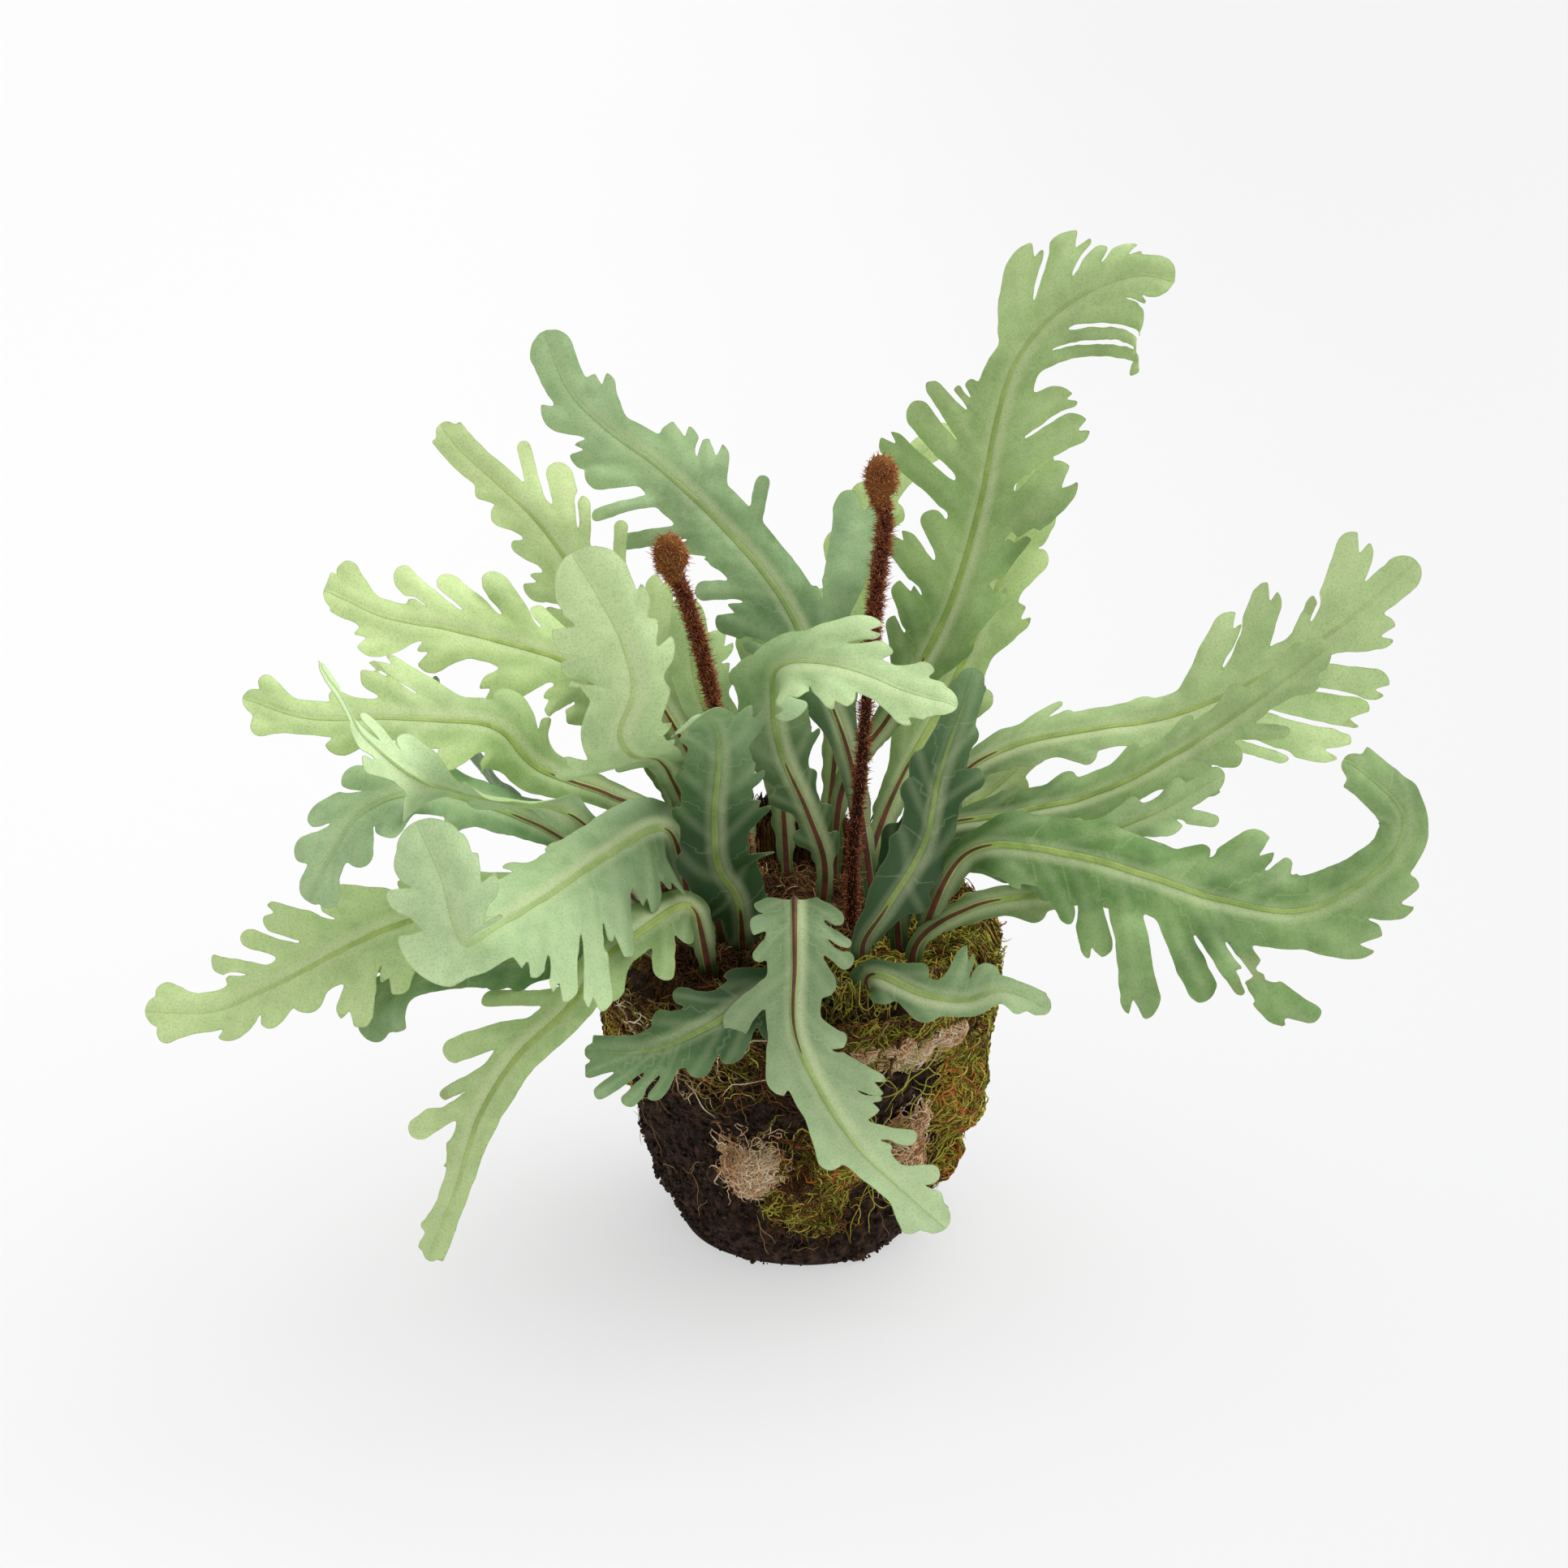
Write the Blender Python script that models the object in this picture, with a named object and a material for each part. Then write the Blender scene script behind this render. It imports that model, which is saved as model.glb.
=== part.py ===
"""A fern out of its pot: a root ball of soil with moss, lobed fronds and two coiled young fronds.

World frame: metres, +Z up. The origin is the centre of the root ball's flat underside, on z = 0.
The front of the plant looks along -Y. The tables below are in millimetres.
"""

import math

import bmesh
import bpy
import numpy as np
from mathutils.geometry import delaunay_2d_cdt

MM = 0.001
GAP = 0.3

# Root ball, shaped by the nursery pot that it grew in.
BASE_RADIUS = 54.0
RIM_RADIUS = 81.0
RIM_HEIGHT = 118.0
TOP_HEIGHT = 128.0
BALL_SEGMENTS = 36
SIDE_LEVELS = 9
TOP_RINGS = (78.0, 74.0, 58.0, 38.0, 18.0)
LUMP = 1.8
# Each wave of lumps: how many go round the ball, how they lean with height, their share, their start.
LUMP_WAVES = ((3, 0.04, 1.0, 0.0), (5, -0.07, 0.7, 1.0))
LUMP_FADE_START = 0.15
LUMP_FADE_SPAN = 0.7
LOWER_ROUNDING = 4.0
LOWER_SHARE = 0.12
SWELL_RADIUS = 66.0
SWELL_WIDTH = 12.0
SWELL_DEPTH = 1.5
SWELL_START = 0.5
SHOULDER_DROP = 3.0

# Moss and dried tufts lie on the ball like thick plasters.
MOSS_GAP = 0.8
PLASTER_EDGE = 0.08
PLASTER_FULLNESS = 0.6
UNEVENNESS = 0.18
SIDE_COLUMN_DEGREES = 8
SIDE_ROW_HEIGHT = 10
TOP_COLUMN_DEGREES = 10
TOP_ROWS = 3
TOP_BASE_DROP = 0.6

# Fronds.
FROND_THICKNESS = 0.8
PETIOLE_HALF_WIDTH = 2.6
WING_HALF_WIDTH = 4.4
WING_GROWTH = 1.6
PETIOLE_START = 2.5
BLADE_TAPER = 26.0
CORE_FULLNESS = 1.3
NARROWING_SHARE = 0.3
TIP_SHARE = 0.55
SLENDER_HALF = 2.5
LOBE_FULLNESS = 0.8
SLENDER_EXTRA = 0.2
BROAD_EXTRA = 1.2
NOTCHED_HALF = 5.5
NOTCH_SLOPE = 0.45
NOTCH_DEPTH = 0.1
NOTCH_ASIDE = 0.3
LOBE_WEB = 2.0
DROOP_WEB = 3.0
SLIT_SLOPE = 0.35
SLIT_HALF = 1.2
CELL = 0.8
OUTLINE_TOLERANCE = 0.9
LOBE_ROOT_SHARE = 0.75
LOBE_ROOT_EXTRA = 1.0
TIP_LENGTH = 2.6
TIP_ROOT_SHARE = 0.8
GRID_MARGIN = 16.0
LONG_EDGE = 28.0
FOLD_EDGE = 7.0
FOLD_TURN = 0.022
RIB_FIRST_POINT = 4.0
RIB_SPACING_SHARE = 0.8
RIB_TURN_WINDOW = 9
WAVE_LENGTH = 52.0
WAVE_HEIGHT = 2.6
WAVE_REACH = 30.0
WAVE_GROWTH = 1.5
WAVE_SHIFT = 1.9
ROOT_START = TOP_HEIGHT + GAP

FIDDLEHEAD_SIDES = 8
STALK_CLEAR = 0.8
STALK_RINGS = 9
HEAD_RINGS = (0.93, 0.8, 0.6, 0.4, 0.2, 0.07, 0.0)
HEAD_END_RADIUS = 0.6

# Each frond: the points that its rib passes through, the way its upper face looks from base to tip,
# where the blade starts along the rib, the half width of the blade's core, the radius of its tip, and
# its lobes. A lobe leaves the rib at `root` and ends at `at` along the rib and `out` to the side, and
# `half` is its half width near the end. A fifth number is how far its tip droops. Past `whole`, the
# lobes run together without slits.
FRONT = (0, -9, 4)
LEVEL = (0, -5, 8)
HALF_LEVEL = (0, -7, 6)

FRONDS = {
    "frond_tall_right": dict(
        rib=((14, 34, 128), (19, 42, 174), (38, 48, 202), (60, 52, 244), (73, 56, 289), (79, 60, 322),
             (86, 62, 345), (98, 62, 362), (116, 58, 376), (133, 52, 383), (146, 46, 382)),
        face=(FRONT, FRONT, (-1, -8, 6)), blade=98, core=9, tip=9,
        lobes=((100, 124, -18, 5), (114, 140, -22, 5.5), (136, 160, -32, 6), (150, 173, -20, 4),
               (174, 201, -44, 5), (188, 214, -35, 4), (200, 226, -30, 4), (214, 232, -40, 2.5),
               (210, 228, -15, 2.5), (244, 271, -31, 6.5), (262, 284, -27, 6.5), (276, 290, -17, 4),
               (286, 301, -14, 4.5), (100, 131, 12, 5), (110, 154, 16, 5.5), (130, 182, 20, 6),
               (156, 202, 33, 8), (190, 225, 35, 6), (204, 239, 26, 5.5), (226, 308, 37, 2.5),
               (240, 307, 30, 2.5), (262, 309, 19, 4), (292, 312, 8, 5))),
    "frond_behind_tall_right": dict(
        rib=((24, 22, 128), (32, 34, 152), (41, 46, 171), (61, 70, 200), (78, 84, 233), (94, 96, 270),
             (101, 102, 301)),
        face=(FRONT,), blade=58, core=8, tip=6,
        lobes=((60, 85, -12, 4), (85, 115, -15, 5), (110, 141, -16, 5), (135, 165, -13, 4),
               (160, 188, -9, 4), (80, 110, 16, 4), (115, 148, 15, 5), (138, 172, 12, 4),
               (155, 188, 9, 4))),
    "frond_tall_left": dict(
        rib=((32, 4, 128), (22, 26, 185), (13, 38, 210), (-7, 56, 249), (-29, 66, 274), (-56, 74, 298),
             (-79, 80, 314), (-93, 84, 328), (-103, 88, 352)),
        face=(FRONT,), blade=80, core=10, tip=9, whole=234,
        lobes=((246, 266, -12, 6), (226, 247, -17, 4.5), (212, 238, -21, 4), (200, 226, -33, 2.5),
               (180, 208, -34, 3), (164, 197, -38, 3.5), (160, 188, -20, 4), (144, 169, -26, 3.5),
               (114, 154, -25, 6.5), (98, 138, -20, 5), (238, 264, 13, 6.5), (202, 222, 19, 6.5),
               (190, 208, 23, 6), (166, 184, 26, 2.5), (118, 158, 52, 7), (105, 140, 17, 5.5),
               (88, 124, 11, 5.5))),
    "frond_cupped_tip": dict(
        rib=((-28, -24, 128), (-42, -45, 193), (-52, -76, 231), (-62, -100, 243), (-65, -108, 254),
             (-60, -106, 269), (-64, -101, 286), (-72, -94, 300), (-82, -88, 315)),
        face=((0, -9, -3), (0, -8, -5), (0, -6, -8), FRONT, FRONT), blade=118, core=11, tip=14, whole=165,
        lobes=((205, 222, 12, 8), (190, 204, 15, 8), (170, 184, 14, 8), (200, 219, -20, 8),
               (188, 205, -22, 8), (176, 190, -22, 8), (140, 160, -27, 5), (138, 156, 15, 4.5),
               (122, 136, -14, 5), (120, 132, 10, 4))),
    "frond_upper_left": dict(
        rib=((-20, 20, 128), (-41, 22, 187), (-64, 30, 227), (-87, 38, 262), (-105, 44, 286),
             (-119, 48, 299), (-135, 52, 313), (-143, 54, 323)),
        face=(FRONT,), blade=88, core=8, tip=4,
        lobes=((198, 214, -8, 3), (180, 203, -10, 4), (164, 188, -12, 4.5), (144, 170, -19, 4.5),
               (124, 158, -16, 5), (184, 213, 19, 2.5), (164, 198, 22, 4), (158, 184, 20, 3),
               (134, 168, 27, 2.5), (106, 142, 28, 4.5))),
    "frond_left_high": dict(
        rib=((-34, 6, 128), (-53, 4, 190), (-72, -8, 223), (-88, -20, 247), (-106, -28, 257),
             (-132, -38, 268), (-156, -46, 276), (-177, -52, 289)),
        face=(HALF_LEVEL,), blade=95, core=8, tip=5,
        lobes=((206, 228, -15, 5), (180, 206, -15, 5), (150, 178, -25, 6), (126, 151, -21, 4.5),
               (106, 136, -16, 5), (222, 243, 12, 3.5), (228, 248, 4, 3.5), (192, 211, 10, 2.5),
               (188, 218, 21, 4), (170, 198, 22, 4), (154, 183, 25, 4), (136, 160, 19, 3.5))),
    "frond_left_middle": dict(
        rib=((-38, -4, 128), (-50, -30, 183), (-75, -48, 205), (-100, -62, 222), (-113, -72, 241),
             (-133, -82, 248), (-150, -90, 252), (-180, -100, 256), (-200, -108, 267)),
        face=(HALF_LEVEL,), blade=115, core=8, tip=5,
        lobes=((238, 257, -10, 3), (208, 231, -9, 5), (186, 208, -12, 5), (166, 192, -16, 6),
               (142, 171, -14, 5.5), (238, 259, 9, 3), (206, 228, 10, 2.5), (186, 215, 19, 4.5),
               (172, 208, 24, 5), (140, 166, 14, 4), (126, 150, 16, 3.5))),
    "frond_left_edge_on": dict(
        rib=((-44, -16, 128), (-86, -84, 212), (-105, -97, 221), (-134, -112, 235), (-155, -124, 259),
             (-162, -130, 278), (-168, -134, 290)),
        face=((-8, -3, 6),), blade=105, core=6, tip=4,
        lobes=((205, 226, 10, 2.5), (190, 214, 13, 2.5), (162, 188, 13, 4), (132, 158, 12, 4),
               (205, 228, -9, 2.5), (188, 214, -14, 2.5), (170, 197, -13, 3.5), (142, 172, -13, 4))),
    "frond_left_dark": dict(
        rib=((-44, 20, 128), (-92, -20, 180), (-108, -34, 194), (-120, -40, 212), (-130, -44, 233),
             (-137, -48, 253)),
        face=((-8, -5, 4),), blade=75, core=6, tip=4,
        lobes=((150, 170, 9, 2.5), (128, 152, 12, 3.5), (105, 128, 10, 4), (148, 168, -9, 2.5),
               (125, 150, -11, 3.5), (98, 122, -10, 4))),
    "frond_left_drooping": dict(
        rib=((-46, -8, 128), (-88, -52, 185), (-108, -72, 206), (-130, -89, 221), (-142, -101, 226),
             (-153, -112, 227), (-161, -118, 223), (-169, -126, 212), (-177, -132, 197)),
        face=(LEVEL, (-3, -8, 4)), blade=108, core=7, tip=6,
        lobes=((172, 192, 15, 4), (186, 206, 15, 4), (202, 219, 13, 4), (140, 166, 12, 5),
               (172, 195, -13, 4), (192, 212, -12, 4), (214, 230, -8, 3.5), (135, 162, -12, 5))),
    "frond_folded_tip": dict(
        rib=((-40, -30, 128), (-51, -62, 196), (-72, -92, 198), (-90, -118, 195), (-109, -142, 192),
             (-119, -152, 190), (-122, -156, 199), (-126, -152, 215), (-135, -146, 235)),
        face=((0, -8, 5), (0, -8, 5), (0, -8, 5), FRONT), blade=70, core=11, tip=12, whole=190,
        lobes=((86, 100, -24, 5.5, 5), (98, 113, -22, 4.5, 5), (118, 140, -28, 7.5, 8),
               (136, 157, -36, 5, 12), (146, 169, -28, 5.5, 8), (162, 179, -18, 5, 4),
               (96, 118, 10, 5.5), (118, 142, 12, 6), (138, 164, 15, 6), (156, 177, 13, 5.5),
               (200, 209, -20, 8.5), (212, 228, -19, 8), (222, 240, -10, 8), (200, 212, 15, 8),
               (210, 227, 16, 8), (222, 240, 8, 8))),
    "frond_far_left_low": dict(
        rib=((-52, -22, 128), (-87, -84, 183), (-116, -96, 182), (-150, -104, 175), (-164, -108, 170),
             (-184, -112, 160), (-201, -114, 152), (-217, -116, 146), (-242, -118, 147)),
        face=(HALF_LEVEL,), blade=105, core=9, tip=6,
        lobes=((236, 256, -9, 3.5), (212, 236, -10, 4.5), (202, 220, -13, 4), (188, 206, -13, 4),
               (168, 193, -26, 5), (148, 174, -22, 5.5), (126, 155, -20, 5.5), (236, 257, 9, 3.5),
               (208, 227, 11, 2.5), (204, 233, 20, 3), (190, 216, 23, 3), (174, 204, 26, 4.5),
               (150, 182, 22, 6), (128, 155, 17, 5.5))),
    "frond_left_below": dict(
        rib=((-50, -32, 128), (-75, -88, 164), (-99, -98, 160), (-128, -104, 158), (-146, -108, 153),
             (-155, -112, 146), (-160, -116, 134)),
        face=((0, -6, 8),), blade=58, core=8, tip=6,
        lobes=((106, 131, -34, 4), (98, 122, -14, 5), (132, 157, 15, 4), (146, 168, 10, 4),
               (150, 169, -10, 4), (80, 108, 13, 5.5), (74, 98, -13, 5.5))),
    "frond_hanging_left": dict(
        rib=((-34, -46, 128), (-43, -78, 171), (-58, -98, 171), (-72, -112, 165), (-86, -122, 149),
             (-104, -130, 134), (-118, -134, 112), (-128, -134, 81), (-140, -130, 49)),
        face=(HALF_LEVEL,), blade=45, core=6, tip=3,
        lobes=((56, 76, -12, 4), (74, 96, -21, 3.5), (96, 117, -10, 4), (66, 90, 8, 4),
               (120, 149, 27, 3), (138, 169, 23, 3.5), (158, 184, 17, 3), (168, 196, 22, 3.5),
               (190, 214, 18, 2.5), (184, 207, 11, 2.5), (216, 236, 6, 2.5))),
    "frond_centre_left": dict(
        rib=((-22, -30, 128), (-24, -46, 160), (-31, -56, 178), (-32, -74, 209), (-30, -88, 234),
             (-31, -98, 252), (-37, -112, 262), (-45, -122, 258)),
        face=(FRONT, FRONT, FRONT, (0, -6, -8)), blade=24, core=10, tip=10,
        lobes=((48, 30, -17, 4), (56, 74, -13, 5.5), (82, 100, -14, 5.5), (106, 122, -13, 5.5),
               (46, 71, 20, 5.5), (22, 38, 12, 5), (78, 106, 18, 5.5), (108, 128, 14, 5.5),
               (132, 152, 16, 5), (130, 147, -12, 4))),
    "frond_centre_right": dict(
        rib=((6, -14, 128), (10, -30, 167), (3, -42, 195), (-7, -54, 224), (-10, -66, 248),
             (-7, -78, 267), (3, -88, 273), (18, -98, 274), (36, -106, 269), (56, -112, 265)),
        face=(FRONT, FRONT, (0, -7, 7), (0, -5, 9)), blade=92, core=10, tip=7,
        lobes=((52, 64, 8, 2.5), (66, 80, 8, 3), (58, 72, -8, 3), (80, 96, -10, 3.5),
               (106, 128, -13, 5), (132, 155, -13, 5.5), (162, 197, -22, 4.5), (184, 206, -12, 5),
               (206, 225, -11, 4.5), (84, 98, 8, 3), (102, 122, 14, 5), (142, 168, 18, 5.5),
               (160, 184, 20, 5.5), (178, 202, 17, 5), (206, 227, 11, 4.5))),
    "frond_front_hanging": dict(
        rib=((-6, -42, 128), (-2, -52, 152), (-2, -70, 172), (-2, -92, 169), (-2, -99, 157),
             (-2, -103, 132), (7, -104, 108), (22, -104, 83), (38, -102, 65), (57, -98, 44)),
        face=((0, -3, 9), FRONT, FRONT), blade=48, core=8, tip=6,
        lobes=((60, 80, 17, 3.5), (70, 89, 20, 3.5), (76, 96, 21, 3), (88, 106, 14, 4),
               (106, 137, 16, 3.5), (126, 160, 21, 5), (146, 169, 16, 4.5), (160, 192, 18, 3),
               (170, 187, 9, 2.5), (54, 72, -13, 4), (68, 85, -15, 4.5), (76, 94, -15, 2.5),
               (96, 121, -25, 3.5), (116, 144, -12, 6), (144, 177, -12, 4), (196, 209, 14, 3.5),
               (202, 219, 7, 3), (198, 220, -10, 3.5))),
    "frond_front_left": dict(
        rib=((16, -64, 128), (8, -78, 140), (-17, -88, 138), (-35, -95, 129), (-57, -99, 121),
             (-81, -104, 123)),
        face=((0, -8, 6),), blade=24, core=8, tip=3,
        lobes=((34, 56, -18, 4), (52, 73, -16, 3.5), (64, 85, -14, 3.5), (84, 99, -18, 2.5),
               (88, 107, -20, 2.5), (94, 118, -17, 2.5), (102, 122, -8, 2.5), (54, 79, 17, 3),
               (38, 60, 10, 5), (70, 92, 11, 4))),
    "frond_front_right": dict(
        rib=((26, -64, 128), (28, -74, 141), (48, -90, 140), (63, -94, 140), (77, -98, 146),
             (94, -102, 140)),
        face=((0, -8, 6),), blade=12, core=5, tip=4,
        lobes=((26, 45, -8, 3.5), (55, 66, -21, 5.5), (62, 76, -10, 3.5), (14, 26, 6, 3.5),
               (24, 36, 9, 4), (38, 53, 8, 4), (76, 88, 6, 3))),
    "frond_front_upright": dict(
        rib=((26, -52, 128), (24, -58, 147), (33, -60, 164), (47, -58, 189), (52, -52, 213),
             (59, -46, 233), (66, -40, 254)),
        face=((4, -9, 3),), blade=32, core=9, tip=6,
        lobes=((60, 76, -11, 5), (80, 97, -12, 4), (92, 107, -12, 4), (58, 48, 15, 4),
               (62, 82, 12, 5), (86, 106, 19, 4), (104, 122, 8, 3.5))),
    "frond_front_short": dict(
        rib=((40, -30, 128), (38, -36, 171), (42, -38, 183), (52, -38, 199)),
        face=(FRONT,), blade=30, core=6, tip=7,
        lobes=((50, 64, -8, 3.5), (42, 60, 10, 4), (50, 68, 13, 5))),
    "frond_right_high": dict(
        rib=((54, -2, 128), (63, 6, 187), (78, 8, 199), (95, 6, 206), (111, 2, 211), (148, -8, 222),
             (178, -16, 240), (206, -24, 264), (233, -30, 293)),
        face=(LEVEL, LEVEL, FRONT), blade=72, core=8, tip=7,
        lobes=((78, 95, -8, 3.5), (92, 112, -20, 3), (98, 118, -11, 3), (130, 152, -9, 5),
               (160, 199, -29, 6), (182, 221, -30, 6.5), (208, 236, -14, 3), (224, 264, -22, 7),
               (88, 106, 9, 4), (104, 128, 14, 3.5), (134, 158, 12, 5), (160, 196, 35, 2.5),
               (174, 213, 39, 6.5), (190, 223, 32, 6), (208, 236, 29, 4.5), (228, 252, 14, 5.5))),
    "frond_right_middle": dict(
        rib=((50, -10, 128), (53, -14, 173), (84, -30, 189), (114, -44, 203), (139, -58, 223),
             (167, -70, 249), (194, -80, 277)),
        face=((0, -6, 8),), blade=58, core=8, tip=6,
        lobes=((70, 88, -9, 4), (96, 116, -12, 4), (126, 150, -11, 5), (154, 177, -11, 5),
               (182, 202, -9, 4), (216, 232, -7, 3.5), (76, 96, 11, 5), (90, 114, 13, 5),
               (118, 142, 15, 5), (150, 178, 17, 5), (164, 190, 14, 3.5), (184, 211, 18, 2.5),
               (212, 231, 9, 3.5))),
    "frond_right_slender": dict(
        rib=((50, -20, 128), (54, -34, 168), (83, -48, 180), (112, -64, 194), (135, -74, 209),
             (157, -84, 228)),
        face=((0, -6, 8),), blade=52, core=6, tip=5,
        lobes=((66, 84, -8, 4), (92, 112, -9, 4), (120, 140, -8, 4), (146, 161, -7, 3.5),
               (66, 86, 9, 4), (84, 102, 24, 2.5), (114, 135, 12, 4), (136, 156, 12, 3.5),
               (148, 170, 16, 2.5))),
    "frond_right_low": dict(
        rib=((42, -36, 128), (66, -66, 189), (101, -84, 195), (125, -94, 192), (154, -102, 185),
             (184, -106, 182), (207, -106, 194), (219, -102, 206), (221, -98, 217), (209, -94, 230),
             (199, -92, 237)),
        face=(HALF_LEVEL,), blade=72, core=11, tip=5,
        lobes=((78, 100, -11, 5.5), (108, 132, -13, 5.5), (146, 170, -16, 6), (160, 191, -27, 7.5),
               (180, 207, -19, 5.5), (84, 106, 14, 5), (104, 126, 24, 4), (118, 141, 34, 5),
               (130, 148, 19, 3.5), (136, 163, 48, 5.5), (152, 180, 36, 4), (164, 196, 33, 5),
               (172, 204, 42, 4.5), (196, 226, 20, 6), (220, 243, 16, 6), (250, 264, -7, 3.5),
               (256, 271, 8, 3.5))),
    "frond_right_behind_low": dict(
        rib=((43, -46, 128), (47, -50, 144), (68, -58, 162), (97, -64, 170), (128, -66, 178),
             (158, -68, 183), (173, -70, 185)),
        face=((0, -6, 8),), blade=48, core=5, tip=4,
        lobes=((70, 88, -7, 3.5), (104, 124, -6, 2.5), (62, 78, 9, 3.5), (88, 108, 10, 3.5),
               (112, 132, 8, 3.5))),
    "frond_back_right": dict(
        rib=((10, 44, 128), (17, 70, 197), (19, 84, 228), (26, 98, 262), (43, 108, 287),
             (65, 116, 303)),
        face=(FRONT,), blade=74, core=7, tip=6,
        lobes=((82, 102, -12, 5), (104, 126, -12, 4), (128, 149, -11, 4), (150, 170, -9, 4),
               (92, 113, 14, 4), (122, 143, 12, 4), (148, 170, 10, 4))),
    "frond_back_left": dict(
        rib=((-18, 40, 128), (-28, 60, 172), (-42, 76, 202), (-47, 88, 226), (-52, 92, 236)),
        face=(FRONT,), blade=42, core=9, tip=9,
        lobes=((56, 76, -12, 5), (76, 95, -15, 5.5), (96, 112, -13, 5), (56, 78, 12, 5),
               (80, 99, 16, 5), (96, 112, 16, 5))),
    "frond_back_middle": dict(
        rib=((-4, 36, 128), (-8, 50, 179), (-13, 62, 207), (-20, 72, 232)),
        face=(FRONT,), blade=45, core=8, tip=8,
        lobes=((62, 82, -14, 5), (84, 101, -12, 4), (58, 78, 12, 5), (78, 97, 16, 5))),
    "frond_right_short": dict(
        rib=((44, 12, 128), (65, 20, 168), (81, 26, 178), (99, 30, 195)),
        face=(LEVEL,), blade=34, core=6, tip=5,
        lobes=((42, 58, -9, 3.5), (60, 76, -8, 3.5), (46, 64, 9, 3.5), (66, 81, 8, 3.5))),
}

# Young fronds: the path of the stalk, then the radius of the stalk and the size of the coiled head.
FIDDLEHEADS = {
    "fiddlehead_left": dict(path=((-14, 2, 128), (-24, -6, 180), (-34, -16, 234), (-39, -18, 258),
                                  (-44, -20, 275), (-51, -22, 301)), stalk=1.8, head=(6.0, 19.0)),
    "fiddlehead_right": dict(path=((21, -4, 128), (22, -4, 168), (24, -3, 190), (28, -2, 248),
                                   (30, -1, 271), (33, 0, 304), (31, 0, 326)), stalk=2.1, head=(5.6, 20.0)),
}

# Plasters on the ball's side: from and to angle (0 is +X, 270 is the front), from and to height,
# thickness.
SIDE_PATCHES = {
    "moss_right_band": (321, 354, 32, 104, 5.0),
    "moss_front_low": (264, 291, 24, 62, 5.0),
    "moss_left_edge": (168, 204, 70, 108, 4.0),
    "dry_tuft_front_high": (278, 317, 103, 117, 4.0),
    "dry_tuft_front_low": (245, 261, 42, 66, 5.0),
    "dry_tuft_right_low": (298, 318, 38, 70, 5.0),
}
# Plasters on the ball's top: from and to angle, from and to radius, thickness.
TOP_PATCHES = {
    "moss_top_right": (314, 396, 66, 76, 6.0),
    "moss_top_back": (62, 118, 54, 77, 24.0),
    "moss_top_left": (160, 232, 65, 76, 5.0),
}


def clear_scene():
    for item in list(bpy.data.objects):
        bpy.data.objects.remove(item, do_unlink=True)


def material(name, colour, roughness):
    made = bpy.data.materials.new(name)
    made.use_nodes = True
    shader = made.node_tree.nodes["Principled BSDF"]
    shader.inputs["Base Color"].default_value = (*colour, 1.0)
    shader.inputs["Roughness"].default_value = roughness
    shader.inputs["Metallic"].default_value = 0.0
    return made


def add_object(name, points, faces, look):
    """Add a mesh object from points in millimetres, with its faces turned outward."""
    mesh = bpy.data.meshes.new(name)
    mesh.from_pydata((np.asarray(points) * MM).tolist(), [], [list(face) for face in faces])
    shell = bmesh.new()
    shell.from_mesh(mesh)
    bmesh.ops.recalc_face_normals(shell, faces=shell.faces)
    shell.to_mesh(mesh)
    shell.free()
    mesh.materials.append(look)
    made = bpy.data.objects.new(name, mesh)
    bpy.context.scene.collection.objects.link(made)


# Curves and frames along them.


def smooth_curve(points, step=1.0):
    """Points about `step` apart on a centripetal Catmull-Rom curve through `points`."""
    points = np.asarray(points, float)
    knots = np.vstack([2 * points[0] - points[1], points, 2 * points[-1] - points[-2]])
    spans = np.sqrt(np.linalg.norm(np.diff(knots, axis=0), axis=1))
    times = np.concatenate([[0.0], np.cumsum(spans)])
    dense = []
    for i in range(1, len(knots) - 2):
        p0, p1, p2, p3 = knots[i - 1 : i + 3]
        t0, t1, t2, t3 = times[i - 1 : i + 3]
        t = np.linspace(t1, t2, 32, endpoint=False)[:, None]
        a1 = (t1 - t) / (t1 - t0) * p0 + (t - t0) / (t1 - t0) * p1
        a2 = (t2 - t) / (t2 - t1) * p1 + (t - t1) / (t2 - t1) * p2
        a3 = (t3 - t) / (t3 - t2) * p2 + (t - t2) / (t3 - t2) * p3
        b1 = (t2 - t) / (t2 - t0) * a1 + (t - t0) / (t2 - t0) * a2
        b2 = (t3 - t) / (t3 - t1) * a2 + (t - t1) / (t3 - t1) * a3
        dense.append((t2 - t) / (t2 - t1) * b1 + (t - t1) / (t2 - t1) * b2)
    dense = np.vstack([*dense, points[-1:]])
    lengths = np.concatenate([[0.0], np.cumsum(np.linalg.norm(np.diff(dense, axis=0), axis=1))])
    stations = np.linspace(0.0, lengths[-1], max(2, round(lengths[-1] / step)) + 1)
    curve = np.column_stack([np.interp(stations, lengths, dense[:, k]) for k in range(3)])
    return curve, stations


def unit(vectors):
    return vectors / np.linalg.norm(vectors, axis=-1, keepdims=True)


def smooth_rows(rows, reach=7):
    padded = np.pad(rows, ((reach, reach), (0, 0)), mode="edge")
    window = np.ones(2 * reach + 1) / (2 * reach + 1)
    return np.column_stack([np.convolve(padded[:, k], window, "valid") for k in range(rows.shape[1])])


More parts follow.
